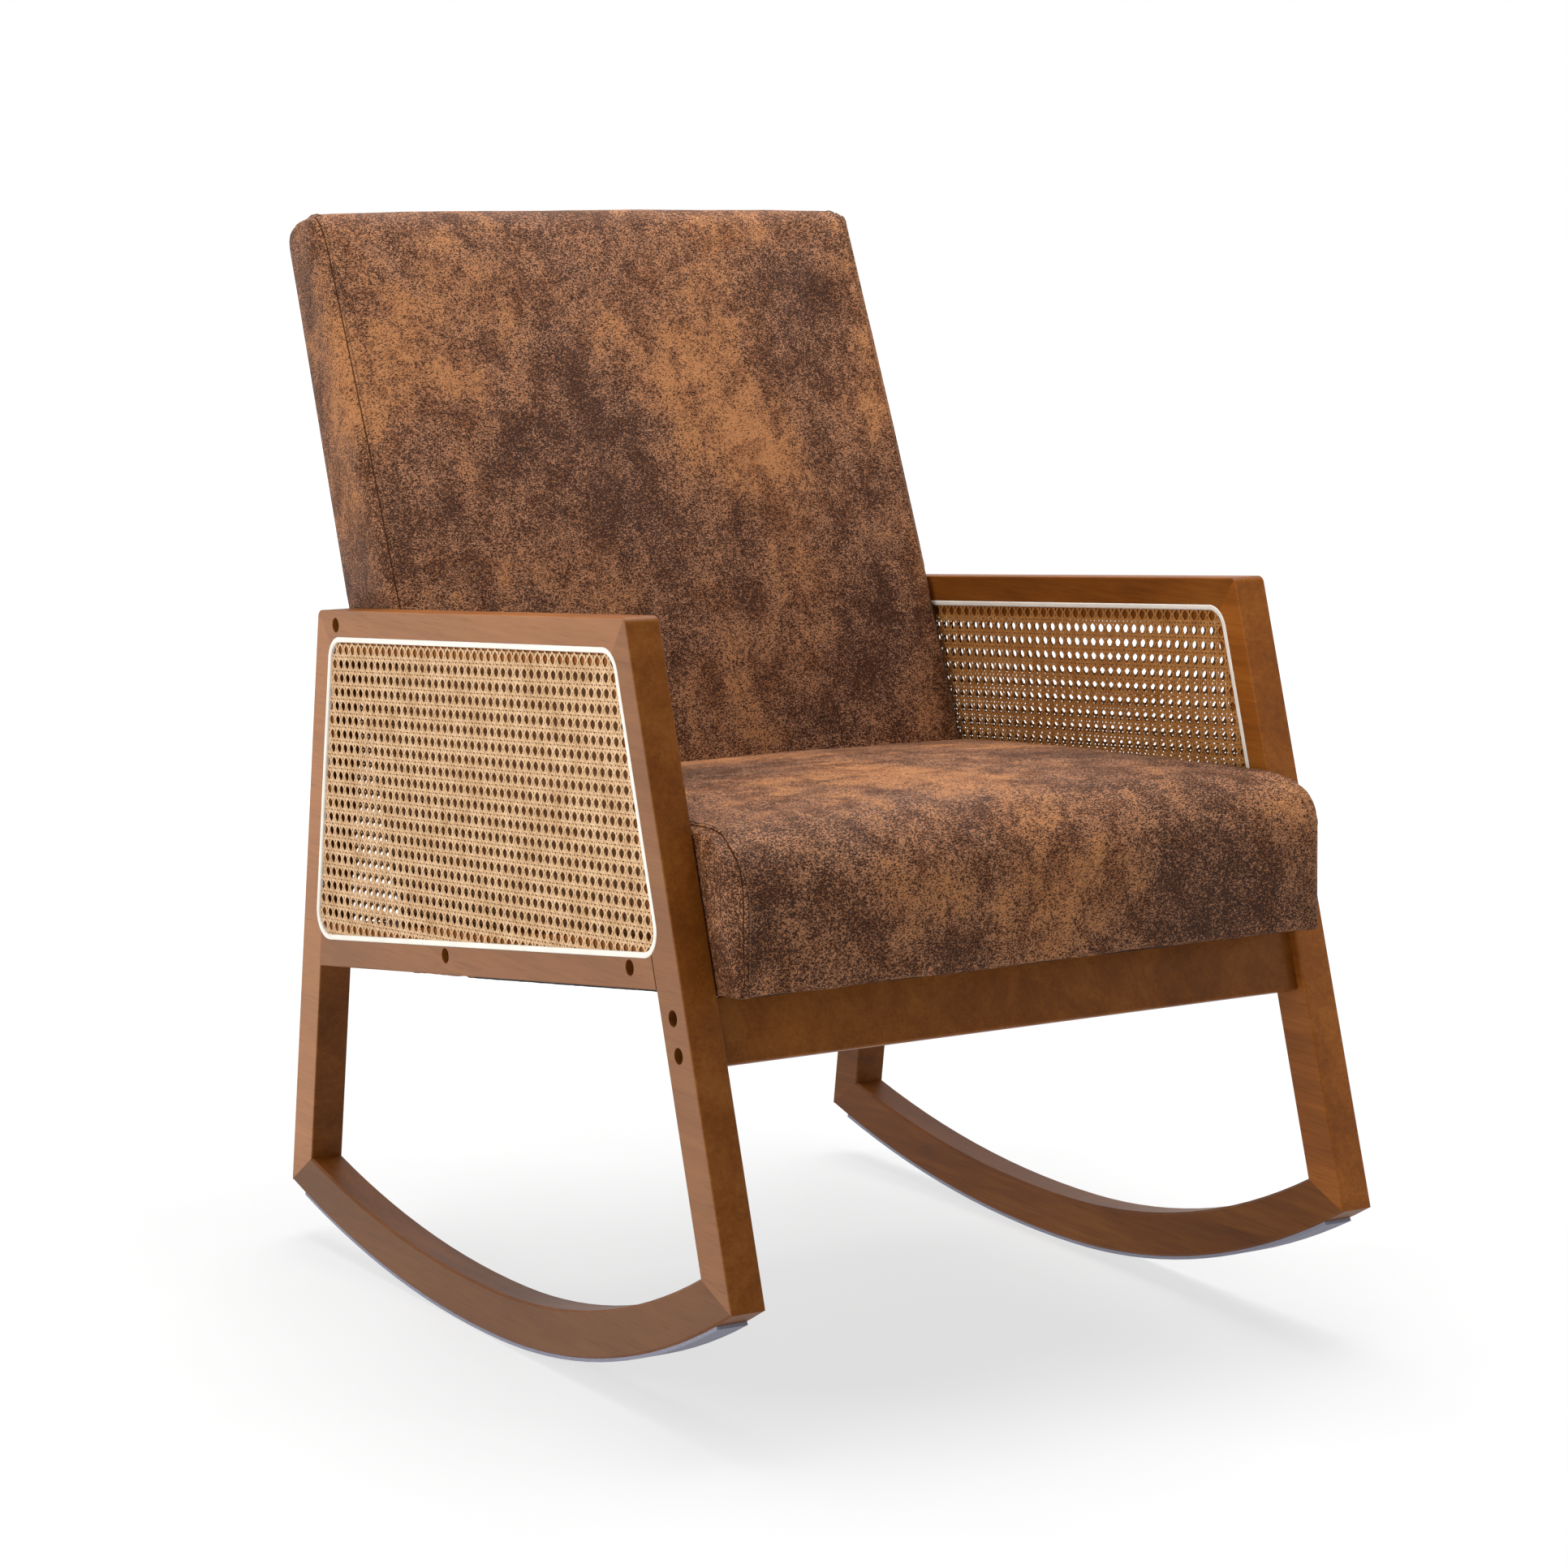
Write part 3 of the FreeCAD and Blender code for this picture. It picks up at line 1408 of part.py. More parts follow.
def build_back_upholstery():
    gap = length("soft_gap")
    skin = length("cover_thickness")
    overrun = length("overrun")
    outer = cushion(back_corners, back_radii, back_bows, back_crowns, 0.0, cushion_half)
    lining = cushion(back_corners, back_radii, back_bows, back_crowns, skin, cushion_half)
    filling = cushion(back_corners, back_radii, back_bows, back_crowns, skin + gap, cushion_half)
    front = -length("post_rear_gap") - length("post_depth") - length("webbing_thickness") - gap
    core = placed_box(
        back_place,
        Vector(-wood_half - gap, front, -length("post_depth") - length("post_foot_cut")),
        Vector(wood_half + gap, overrun * 2, post_reach() + gap),
    )
    foot_core = placed_box(
        seat_place,
        Vector(-wood_half - gap, seat_depth + length("back_foot_rail_gap") - gap, -overrun),
        Vector(
            wood_half + gap,
            seat_depth * 2,
            length("seat_rail_lift") + length("back_foot_rail_height") + gap,
        ),
    )
    holes = Part.makeCompound(cloth_holes([back_bolt_place]))
    foam = filling.cut(core).cut(foot_core).cut(holes)
    keep_piece("back_foam", feature("back_foam_block", foam))
    plate_holes = placed(seat_place, [screw_bore(*place) for place in plate_screws()])
    cover = outer.cut(lining).cut(holes).cut(plate_holes)
    keep_piece("back_cover", feature("back_cover_skin", cover))


def plate_screws():
    """Start and direction of the plates' screws, two into the seat and two into the back."""
    front = seat_depth - length("plate_overlap")
    edge = length("screw_edge_distance")
    step = length("screw_spacing")
    rear = front + length("plate_length")
    stations = (front + edge, front + edge + step, rear - edge - step, rear - edge)
    return [
        (Vector(x, u, -length("plate_thickness")), Vector(0, 0, 1))
        for x in (-plate_line, plate_line)
        for u in stations
    ]


def build_plates():
    """Steel plates under the hems, which tie the foot of the back to the seat's rear rail."""
    reach = length("plate_length")
    wide = length("plate_width")
    thick = length("plate_thickness")
    tool = Part.makeCompound([screw_bore(*place) for place in plate_screws()])
    plates = []
    for x in (-plate_line, plate_line):
        low = Vector(x - wide / 2, seat_depth - length("plate_overlap"), -thick)
        plates.append(Part.makeBox(wide, reach, thick, low).cut(tool))
    plate_set = feature("plate_set", Part.makeCompound(plates), seat_place)
    keep_piece("seat_back_plates", plate_set)
    shapes = [wood_screw(*place) for place in plate_screws()]
    screw_set = feature("plate_screw_set", Part.makeCompound(shapes), seat_place)
    keep_piece("plate_screws", screw_set)


def check_and_write():
    """Refuses a failed object or a bad shape, then writes one file for each piece."""
    doc.recompute()
    for made in doc.Objects:
        if "Invalid" in made.State or "Error" in made.State:
            raise ValueError(f"{made.Label} failed: {made.State}")
    os.makedirs("parts", exist_ok=True)
    for label, made in pieces.items():
        if made.Shape.isNull() or not made.Shape.isValid():
            raise ValueError(f"{label} has no valid shape")
        if not made.Shape.Solids:
            raise ValueError(f"{label} has no solid")
        print(label, len(made.Shape.Solids), round(made.Shape.Volume))
    for label, made in pieces.items():
        made.Shape.exportStep(f"parts/{label}.step")


for side in SIDES:
    build_side_frame(side)
    build_panels(side)
    build_felt(side)
build_apron()
build_side_bolts()
build_seat_frame()
build_seat_upholstery()
build_back_frame()
build_back_upholstery()
build_plates()
check_and_write()
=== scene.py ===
import math
import bpy
import numpy as np
from mathutils import Matrix, Vector, noise
from mathutils.bvhtree import BVHTree


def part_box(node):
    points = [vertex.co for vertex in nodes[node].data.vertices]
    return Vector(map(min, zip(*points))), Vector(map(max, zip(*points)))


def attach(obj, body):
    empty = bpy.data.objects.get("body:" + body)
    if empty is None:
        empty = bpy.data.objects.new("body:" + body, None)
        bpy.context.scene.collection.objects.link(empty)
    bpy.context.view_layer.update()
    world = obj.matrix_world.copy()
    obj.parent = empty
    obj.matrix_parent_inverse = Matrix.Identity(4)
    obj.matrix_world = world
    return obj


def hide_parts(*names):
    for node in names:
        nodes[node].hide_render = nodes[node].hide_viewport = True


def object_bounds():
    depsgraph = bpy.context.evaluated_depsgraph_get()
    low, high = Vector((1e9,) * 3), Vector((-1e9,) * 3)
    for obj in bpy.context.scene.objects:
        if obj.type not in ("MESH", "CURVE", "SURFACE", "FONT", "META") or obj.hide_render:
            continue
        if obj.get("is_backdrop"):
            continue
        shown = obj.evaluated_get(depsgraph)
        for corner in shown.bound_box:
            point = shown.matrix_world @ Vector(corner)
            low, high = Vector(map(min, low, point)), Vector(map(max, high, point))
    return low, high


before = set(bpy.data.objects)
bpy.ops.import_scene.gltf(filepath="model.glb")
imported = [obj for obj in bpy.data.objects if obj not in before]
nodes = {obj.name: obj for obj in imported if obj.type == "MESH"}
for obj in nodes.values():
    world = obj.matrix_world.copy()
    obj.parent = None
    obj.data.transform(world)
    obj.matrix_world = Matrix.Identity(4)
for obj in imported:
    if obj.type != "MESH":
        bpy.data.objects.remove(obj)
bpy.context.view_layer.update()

# Rocking chair: glued side frames with cane panels, a padded seat and a raked back.
# Metres, +Z up, the sitter faces -Y.

mm = 0.001
print("frame loaded, nodes:", len(nodes))


# Tools used by every piece.

def deselectAll():
    if bpy.context.object and bpy.context.object.mode != "OBJECT":
        bpy.ops.object.mode_set(mode="OBJECT")
    bpy.ops.object.select_all(action="DESELECT")


def pick(piece):
    deselectAll()
    piece.select_set(True)
    bpy.context.view_layer.objects.active = piece


def bakePlace(piece):
    pick(piece)
    bpy.ops.object.transform_apply(location=True, rotation=True, scale=True)


def selectWhere(piece, test):
    # leaves the piece in edit mode with the chosen points selected
    pick(piece)
    bpy.ops.object.mode_set(mode="EDIT")
    bpy.ops.mesh.select_mode(type="VERT")
    bpy.ops.mesh.select_all(action="DESELECT")
    bpy.ops.object.mode_set(mode="OBJECT")
    for point in piece.data.vertices:
        point.select = test(point.co)
    bpy.ops.object.mode_set(mode="EDIT")


def leaveEdit():
    bpy.ops.object.mode_set(mode="OBJECT")


def shiftWhere(piece, test, shift):
    selectWhere(piece, test)
    bpy.ops.transform.translate(value=shift)
    leaveEdit()


def sliceAt(piece, place, normal, clear=False, fill=False):
    pick(piece)
    bpy.ops.object.mode_set(mode="EDIT")
    bpy.ops.mesh.select_all(action="SELECT")
    bpy.ops.mesh.bisect(plane_co=place, plane_no=normal, clear_outer=clear, use_fill=fill)
    leaveEdit()


def joinPieces(pieces, name):
    deselectAll()
    for piece in pieces:
        piece.select_set(True)
    bpy.context.view_layer.objects.active = pieces[0]
    bpy.ops.object.join()
    pieces[0].name = name
    return pieces[0]


def copyPiece(piece, name):
    # each copy has a mesh of its own
    twin = piece.copy()
    twin.data = piece.data.copy()
    twin.name = name
    bpy.context.scene.collection.objects.link(twin)
    return twin


def applyAll(piece):
    pick(piece)
    for modifier in list(piece.modifiers):
        bpy.ops.object.modifier_apply(modifier=modifier.name)


def smoothByAngle(piece, degrees=50):
    pick(piece)
    bpy.ops.object.shade_smooth_by_angle(angle=math.radians(degrees))


def pointsOf(piece):
    found = np.zeros(len(piece.data.vertices) * 3)
    piece.data.vertices.foreach_get("co", found)
    return found.reshape(-1, 3)


def setPoints(piece, places):
    piece.data.vertices.foreach_set("co", np.ascontiguousarray(places, float).ravel())
    piece.data.update()


# Finishes, all procedural. Colours are linear, and scales are per metre.

class Wire:
    # a socket that grows Math nodes when it is used in an expression
    def __init__(self, finish, socket):
        self.finish = finish
        self.socket = socket

    def maths(self, operation, first, second=None):
        sockets = {0: first} if second is None else {0: first, 1: second}
        made = self.finish.node("ShaderNodeMath", {"operation": operation}, sockets)
        return Wire(self.finish, made.outputs[0])

    def __add__(self, other):
        return self.maths("ADD", self, other)

    __radd__ = __add__

    def __sub__(self, other):
        return self.maths("SUBTRACT", self, other)

    def __rsub__(self, other):
        return self.maths("SUBTRACT", other, self)

    def __mul__(self, other):
        return self.maths("MULTIPLY", self, other)

    def __abs__(self):
        return self.maths("ABSOLUTE", self)


class Finish:
    def __init__(self, name, **surface):
        self.material = bpy.data.materials.new(name)
        self.material.use_nodes = True
        self.tree = self.material.node_tree
        self.tree.nodes.clear()
        self.shader = self.node("ShaderNodeBsdfPrincipled")
        self.node("ShaderNodeOutputMaterial", {}, {"Surface": self.shader.outputs[0]})
        for name, value in surface.items():
            self.shader.inputs[name].default_value = value
        self.where = self.node("ShaderNodeTexCoord").outputs["Object"]

    def node(self, kind, settings=None, sockets=None):
        made = self.tree.nodes.new(kind)
        for key, value in (settings or {}).items():
            if key == "stops":
                while len(made.color_ramp.elements) < len(value):
                    made.color_ramp.elements.new(0.5)
                for element, (place, colour) in zip(made.color_ramp.elements, value):
                    element.position = place
                    element.color = (*colour, 1)
            else:
                setattr(made, key, value)
        for key, value in (sockets or {}).items():
            if isinstance(value, Wire):
                value = value.socket
            if isinstance(value, bpy.types.NodeSocket):
                self.tree.links.new(value, made.inputs[key])
            elif made.inputs[key].type == "RGBA" and len(value) == 3:
                made.inputs[key].default_value = (*value, 1)
            else:
                made.inputs[key].default_value = value
        return made

    def mapped(self, turn=(0, 0, 0), stretch=(1, 1, 1), shift=(0, 0, 0)):
        sockets = {"Vector": self.where, "Rotation": turn, "Scale": stretch, "Location": shift}
        return self.node("ShaderNodeMapping", {}, sockets).outputs[0]

    def clouds(self, scale, detail=2.0, roughness=0.5, vector=None, distortion=0.0):
        sockets = {
            "Vector": vector or self.where,
            "Scale": scale,
            "Detail": detail,
            "Roughness": roughness,
            "Distortion": distortion,
        }
        return Wire(self, self.node("ShaderNodeTexNoise", {}, sockets).outputs[0])

    def cells(self, scale):
        sockets = {"Vector": self.where, "Scale": scale}
        return Wire(self, self.node("ShaderNodeTexVoronoi", {}, sockets).outputs["Distance"])

    def ease(self, value, low, high, start=0.0, end=1.0):
        # smooth step from start to end as value goes from low to high
        sockets = {"Value": value, "From Min": low, "From Max": high, "To Min": start, "To Max": end}
        made = self.node("ShaderNodeMapRange", {"interpolation_type": "SMOOTHSTEP"}, sockets)
        return Wire(self, made.outputs[0])

    def mix(self, amount, first, second):
        made = self.node("ShaderNodeMix", {"data_type": "RGBA"}, {0: amount, 6: first, 7: second})
        return made.outputs[2]

    def ramp(self, value, stops):
        return self.node("ShaderNodeValToRGB", {"stops": stops}, {0: value}).outputs[0]

    def twoTone(self, value):
        # from the darker to the paler colour that tones gives for this finish
        darker, paler = tones[self.material.name]
        return self.ramp(value, [(0.3, darker), (0.7, paler)])

    def axis(self, index, source=None):
        split = self.node("ShaderNodeSeparateXYZ", {}, {0: source or self.where})
        return Wire(self, split.outputs[index])

    def facing(self):
        return self.node("ShaderNodeNewGeometry").outputs["Normal"]

    def colour(self, value):
        self.feed("Base Color", value)

    def rough(self, value):
        self.feed("Roughness", value)

    def bump(self, height, strength, distance):
        sockets = {"Height": height, "Strength": strength, "Distance": distance}
        self.feed("Normal", self.node("ShaderNodeBump", {}, sockets).outputs[0])

    def feed(self, name, value):
        value = value.socket if isinstance(value, Wire) else value
        self.tree.links.new(value, self.shader.inputs[name])


tones = {
    "plainPine": ((0.42, 0.27, 0.13), (0.62, 0.45, 0.25)),
    "creamBead": ((0.65, 0.61, 0.54), (0.73, 0.69, 0.62)),
    "greyFelt": ((0.13, 0.13, 0.17), (0.26, 0.26, 0.32)),
    "tanThread": ((0.09, 0.036, 0.014), (0.2, 0.083, 0.033)),
    "brightSteel": ((0.32, 0.32, 0.33), (0.5, 0.5, 0.5)),
    "blackSteel": ((0.02, 0.02, 0.02), (0.05, 0.05, 0.05)),
    "darkWebbing": ((0.02, 0.02, 0.02), (0.07, 0.065, 0.06)),
    "blackDustCloth": ((0.006, 0.006, 0.007), (0.02, 0.02, 0.022)),
    "palePaper": ((0.21, 0.21, 0.21), (0.23, 0.23, 0.23)),
}

# boards gives two factors for each board: one for its whole colour, partly its own stain and partly
# painted light and shade for how brightly it stands lit; and one for the paler tone of its outer face, a
# painted sheen of the light from the side
walnut = {
    "shade": (0.1, 0.027, 0.003),
    "body": (0.18, 0.053, 0.006),
    "light": (0.26, 0.09, 0.014),
    # outer: the paler tone of the outer faces, a painted sheen
    "outer": (0.25, 0.116, 0.055),
    "pore": (0.05, 0.014, 0.003),
    "scales": {"broad": 20, "fine": 170, "streaks": 420, "pores": 1300, "blotch": 5},
    "outerFace": (0.317, 0.319),
    "plain": (1.0, 0.92),
    "boards": {
        "right_arm_rail": (1.0, 1.12),
        "right_rear_leg": (0.68, 1.42),
        "right_front_leg": (0.84, 0.86),
        "right_rocker": (0.75, 0.54),
        "left_arm_rail": (0.9, 1.17),
        "left_rear_leg": (0.62, 1.1),
        "left_front_leg": (1.25, 0.9),
        "left_rocker": (0.66, 0.6),
        "front_apron": (0.95, 1.0),
    },
}


def walnutFinish(board, turn, side=0):
    # turn lays the grain along the board; side is -1 or 1, the side whose outer face is painted paler: a
    # painted sheen that stands in for the light reflected off that face
    made = Finish("walnut." + board, **{"Specular IOR Level": 0.13})
    scales = walnut["scales"]
    along = made.mapped(turn=turn, stretch=(1, 0.09, 1))
    broad = made.clouds(scales["broad"], 4, 0.6, along, 0.6)
    fine = made.clouds(scales["fine"], 5, 0.65, along)
    drawn = made.mapped(turn=turn, stretch=(1, 0.02, 1))
    streaks = made.clouds(scales["streaks"], 3, 0.6, drawn)
    pores = made.clouds(scales["pores"], 2, 0.5, drawn)
    blotch = made.clouds(scales["blotch"], 3, 0.5)
    tone = broad * 0.4 + fine * 0.22 + blotch * 0.2 + streaks * 0.18
    body, outer = walnut["boards"].get(board, walnut["plain"])
    shades = [tuple(value * body for value in walnut[name]) for name in ("shade", "body", "light")]
    stainAndSheen = made.ramp(tone, [(0.35, shades[0]), (0.5, shades[1]), (0.65, shades[2])])
    # painted sheen: the outer faces are painted in the paler outer tones, as if lit by and reflecting the
    # light from the side
    if side:
        paintedSheenMask = made.ease(made.axis(0, made.facing()) * side, 0.6, 0.95, 0.0, 0.8)
        paintedSheenMask = paintedSheenMask * made.ease(made.axis(0) * side, *walnut["outerFace"])
        dim, bright = [tuple(value * outer * level for value in walnut["outer"]) for level in (0.82, 1.08)]
        stainAndSheen = made.mix(paintedSheenMask, stainAndSheen, made.mix(made.ease(tone, 0.34, 0.66), dim, bright))
    pored = made.ease(pores, 0.56, 0.74, 0.0, 0.36)
    made.colour(made.mix(pored, stainAndSheen, walnut["pore"]))
    made.rough(0.38 + fine * 0.14 + pored * 0.15)
    made.bump(fine * 0.4 - pored, 0.2, 0.0003)
    return made.material


def plainWoodFinish():
    made = Finish("plainPine")
    grain = made.clouds(60, 4, 0.6, made.mapped(stretch=(0.08, 1, 1)))
    made.colour(made.twoTone(grain))
    made.rough(0.6 + grain * 0.2)
    made.bump(grain, 0.2, 0.0004)
    return made.material


caneTones = {
    "stops": ((0.32, (0.34, 0.18, 0.07)), (0.5, (0.53, 0.33, 0.17)), (0.68, (0.64, 0.44, 0.26))),
    "outer": {"shade": (1, 1, 1), "paintedHollowShade": (0.28, 0.12, 0.026)},
    # inner sheets are painted darker: painted shade, as they sit in the shadow of the frame and cushions
    "inner": {"shade": (0.7, 0.48, 0.24), "paintedHollowShade": (0.2, 0.077, 0.012)},
}


def caneFinish(name, face, paintedShadeSide):
    # painted shade: the side of each strand that looks into the hollow between two sheets is painted dark,
    # as the shade in that cavity
    made = Finish(name, **{"Specular IOR Level": 0.35})
    shade, paintedHollowShadeTone = caneTones[face]["shade"], caneTones[face]["paintedHollowShade"]
    fibre = made.clouds(700, 3, 0.6)
    batch = made.clouds(55, 3, 0.6)
    tone = fibre * 0.45 + batch * 0.55
    stops = [(place, tuple(value * level for value, level in zip(colour, shade)))
             for place, colour in caneTones["stops"]]
    paintedHollowShade = made.ease(made.axis(0, made.facing()) * paintedShadeSide, -0.2, 0.3)
    made.colour(made.mix(paintedHollowShade, made.ramp(tone, stops), paintedHollowShadeTone))
    made.rough(0.42 + fibre * 0.2)
    made.bump(fibre, 0.25, 0.0002)
    return made.material


def beadFinish():
    made = Finish("creamBead", **{"Specular IOR Level": 0.5})
    haze = made.clouds(40, 3, 0.5)
    made.colour(made.twoTone(haze))
    made.rough(0.32 + haze * 0.1)
    made.bump(made.clouds(500, 2), 0.08, 0.0001)
    return made.material


hide = {
    "caramel": (0.39, 0.166, 0.064),
    "tan": (0.355, 0.162, 0.083),
    "amber": (0.27, 0.102, 0.037),
    "umber": (0.026, 0.0068, 0.0014),
    "smoke": (0.024, 0.008, 0.0042),
    "scales": {"clouds": 8, "wisps": 34, "coarse": 260, "flecks": 800},
    "washDepth": 0.5,
    "seamHalf": (0.4 * mm, 1.3 * mm),
    "blackHemStrip": {
        "height": 6 * mm,
        "side": 0.27,
        "front": -0.33,
        "rear": 0.06,
        "colour": (0.006, 0.006, 0.007),
    },
}


def hideFinish(name, seed, washes):
    # mottled leather: dark wax lies in the grain, and clouds of it come and go. A wash is a darker or
    # paler area, given by its middle, its size and how much wax it adds
    made = Finish(name, **{"Specular IOR Level": 0.1})
    scales = hide["scales"]
    drift = made.mapped(stretch=(1, 1, 0.75), shift=seed)
    clouds = made.clouds(scales["clouds"], 5, 0.6, drift, 0.3)
    wisps = made.clouds(scales["wisps"], 5, 0.65, drift, 0.4)
    flecks = made.clouds(scales["flecks"], 1, 0.5, made.mapped(stretch=(0.8, 1, 1.1)), 0.6)
    coarse = made.clouds(scales["coarse"], 3, 0.6)
    grain = made.cells(scales["flecks"])
    cover = (clouds - 0.5) * 1.5 + (wisps - 0.5) * 1.25
    for middle, reach, amount in washes:
        offset = made.node("ShaderNodeVectorMath", {"operation": "DISTANCE"}, {0: made.where, 1: middle})
        depth = amount * hide["washDepth"]
        cover = cover + made.ease(Wire(made, offset.outputs["Value"]), 0.0, reach, depth, 0.0)
    speck = (flecks - 0.5) * 3.0 + (coarse - 0.5) * 1.1 + (grain - 0.35) * 0.5
    wax = made.ease(cover + speck, -0.38, 0.42)
    # fine grain: worn ridges in the dark clouds and wax left in the pits of the pale ones
    ridges = made.ease(flecks, 0.34, 0.48, 0.4, 0.0)
    pits = made.ease(flecks, 0.52, 0.66, 0.0, 0.26)
    wax = wax * (1 - ridges) + (1 - wax) * pits
    clean = made.mix(made.ease(cover, -0.3, 0.05), hide["caramel"], hide["tan"])
    warm = made.mix(made.ease(wisps + (coarse - 0.5) * 0.4, 0.42, 0.66), clean, hide["amber"])
    deep = made.mix(made.ease(cover, -0.05, 0.3), hide["umber"], hide["smoke"])
    mottled = made.mix(wax * 0.95, warm, deep)
    fromSeam = Wire(made, made.node("ShaderNodeAttribute", {"attribute_name": "fromSeam"}).outputs["Fac"])
    seam = made.ease(abs(fromSeam), *hide["seamHalf"], 1.0, 0.0)
    gathered = made.ease(abs(fromSeam - 3.5 * mm), 2 * mm, 6 * mm, 1.0, 0.0)
    # the lowest few millimetres of the seat's sides, along the hem, are painted near-black
    edge = hide["blackHemStrip"]
    across, lengthwise = made.axis(0), made.axis(1)
    aboveHem = made.axis(2) + lengthwise * hemFall - hemHeight(0) + (wisps - 0.5) * 0.008
    blackHemStrip = made.ease(aboveHem, edge["height"], edge["height"] + 0.5 * mm, 1.0, 0.0)
    blackHemStrip = blackHemStrip * made.ease(abs(across), edge["side"], edge["side"] + 2 * mm)
    blackHemStrip = blackHemStrip * made.ease(lengthwise, edge["front"], edge["front"] + 5 * mm)
    blackHemStrip = blackHemStrip * made.ease(lengthwise, edge["rear"], edge["rear"] + 5 * mm, 1.0, 0.0)
    # the seam is painted as a dark line: a dark joint, with painted shade standing in for its groove,
    # which is finer than the mesh
    mottledWithSeamShade = made.mix(seam * 0.85, mottled, hide["umber"])
    made.colour(made.mix(blackHemStrip, mottledWithSeamShade, edge["colour"]))
    made.rough(0.44 + flecks * 0.2 - wax * 0.06)
    pucker = made.clouds(scales["coarse"], 1, 0.5) * gathered
    made.bump(grain * 0.7 - wax * 0.6 - seam * 1.5 + pucker * 1.8, 0.85, 0.0009)
    return made.material


def feltFinish():
    made = Finish("greyFelt")
    fluff = made.clouds(900, 5, 0.7)
    made.colour(made.twoTone(fluff))
    made.rough(0.9 + fluff * 0.1)
    made.bump(fluff, 0.5, 0.0006)
    return made.material


def steelFinish(name):
    made = Finish(name, Metallic=1.0)
    brushed = made.clouds(400, 3, 0.6, made.mapped(stretch=(0.1, 1, 1)))
    made.colour(made.twoTone(brushed))
    made.rough(0.35 + brushed * 0.2)
    made.bump(brushed, 0.1, 0.0001)
    return made.material


def clothFinish(name):
    # plain weave: two crossed sets of threads
    made = Finish(name)
    over, under = [
        made.node("ShaderNodeTexWave", {"bands_direction": way}, {"Scale": 260.0, "Vector": made.where})
        for way in ("X", "Y")
    ]
    threads = Wire(made, over.outputs[1]) * 0.5 + Wire(made, under.outputs[1]) * 0.5
    lint = made.clouds(90, 4, 0.6)
    made.colour(made.twoTone(threads * 0.6 + lint * 0.4))
    made.rough(0.85 + lint * 0.1)
    made.bump(threads, 0.3, 0.0003)
    return made.material


def threadFinish():
    made = Finish("tanThread")
    twist = made.clouds(1500, 2, 0.5)
    made.colour(made.twoTone(twist))
    made.rough(0.6 + twist * 0.2)
    made.bump(twist, 0.3, 0.0002)
    return made.material


# corners of a side frame as y and z
frameCorners = {
    "armFront": (-0.27, 0.652),
    "armRear": (0.3055, 0.6045),
    "frontFoot": (-0.4345, 0.1237),
    "rearFoot": (0.3865, 0.0518),
}
# the seat's underside runs with the side rails, 7 mm under their lower edge
hemFall = 0.139
hemMiddle = 0.3079


def hemHeight(y):
    return hemMiddle - hemFall * y


def leanOf(low, high):
    # the angle between a board and the floor, whichever way it leans
    (lowY, lowZ), (highY, highZ) = frameCorners[low], frameCorners[high]
    return math.atan2(highZ - lowZ, abs(highY - lowY))


armSlope = leanOf("armRear", "armFront")
railSlope = math.atan(hemFall)
frontLean = leanOf("frontFoot", "armFront")
rearLean = leanOf("rearFoot", "armRear")
grainTurns = {
    "arm_rail": (armSlope, 0, 0),
    "front_leg": (-frontLean, 0, 0),
    "rear_leg": (rearLean, 0, 0),
    "side_rail": (railSlope, 0, 0),
    "rocker": (0, 0, 0),
}
pine = plainWoodFinish()
steel = steelFinish("brightSteel")
blackSteel = steelFinish("blackSteel")
canes = {
    "right_outer": caneFinish("rightOuterCane", "outer", 1),
    "right_inner": caneFinish("rightInnerCane", "inner", -1),
    "left_outer": caneFinish("leftOuterCane", "outer", -1),
    "left_inner": caneFinish("leftInnerCane", "inner", 1),
}
bead = beadFinish()
felt = feltFinish()
webbing = clothFinish("darkWebbing")
dustCloth = clothFinish("blackDustCloth")
thread = threadFinish()


def dress(node, material):
    mesh = nodes[node].data
    mesh.materials.clear()
    mesh.materials.append(material)


for sideName, side in (("right", -1), ("left", 1)):
    for member, turn in grainTurns.items():
        dress(f"{sideName}_{member}", walnutFinish(f"{sideName}_{member}", turn, side))
    dress(f"{sideName}_dowels", pine)
    dress(f"{sideName}_felt_strip", felt)
    for face in ("outer", "inner"):
        dress(f"{sideName}_{face}_bead", bead)
        dress(f"{sideName}_{face}_cane", canes[f"{sideName}_{face}"])
    dress(f"seat_{sideName}_rail", pine)
    dress(f"back_{sideName}_post", pine)
dress("front_apron", walnutFinish("front_apron", (0, 0, math.pi / 2)))
for material, alike in (
    (pine, ("seat_front_rail", "seat_rear_rail", "seat_corner_blocks",
            "back_top_rail", "back_middle_rail", "back_foot_rail")),
    (blackSteel, ("apron_bolts", "seat_bolts", "back_bolts")),
    (steel, ("apron_barrel_nuts", "seat_insert_nuts", "back_insert_nuts", "corner_block_screws",
             "seat_back_plates", "plate_screws")),
    (webbing, ("seat_webbing", "back_webbing")),
    (dustCloth, ("seat_dust_cover",)),
):
    for node in alike:
        dress(node, material)
print("finishes made and CAD nodes dressed")


# Camera, light and floor.

view = {
    "place": (-1.8571, -3.0327, 1.0026),
    "tilt": 81.29,
    "turn": -31.39,
    "lens": 92.05,
    "sensor": 36,
    "farthest": 50,
}
bpy.ops.object.camera_add(location=view["place"])
camera = bpy.context.object
camera.name = "camera"
camera.rotation_euler = (math.radians(view["tilt"]), 0, math.radians(view["turn"]))
camera.data.lens = view["lens"]
camera.data.sensor_width = view["sensor"]
camera.data.clip_end = view["farthest"]
bpy.context.scene.camera = camera

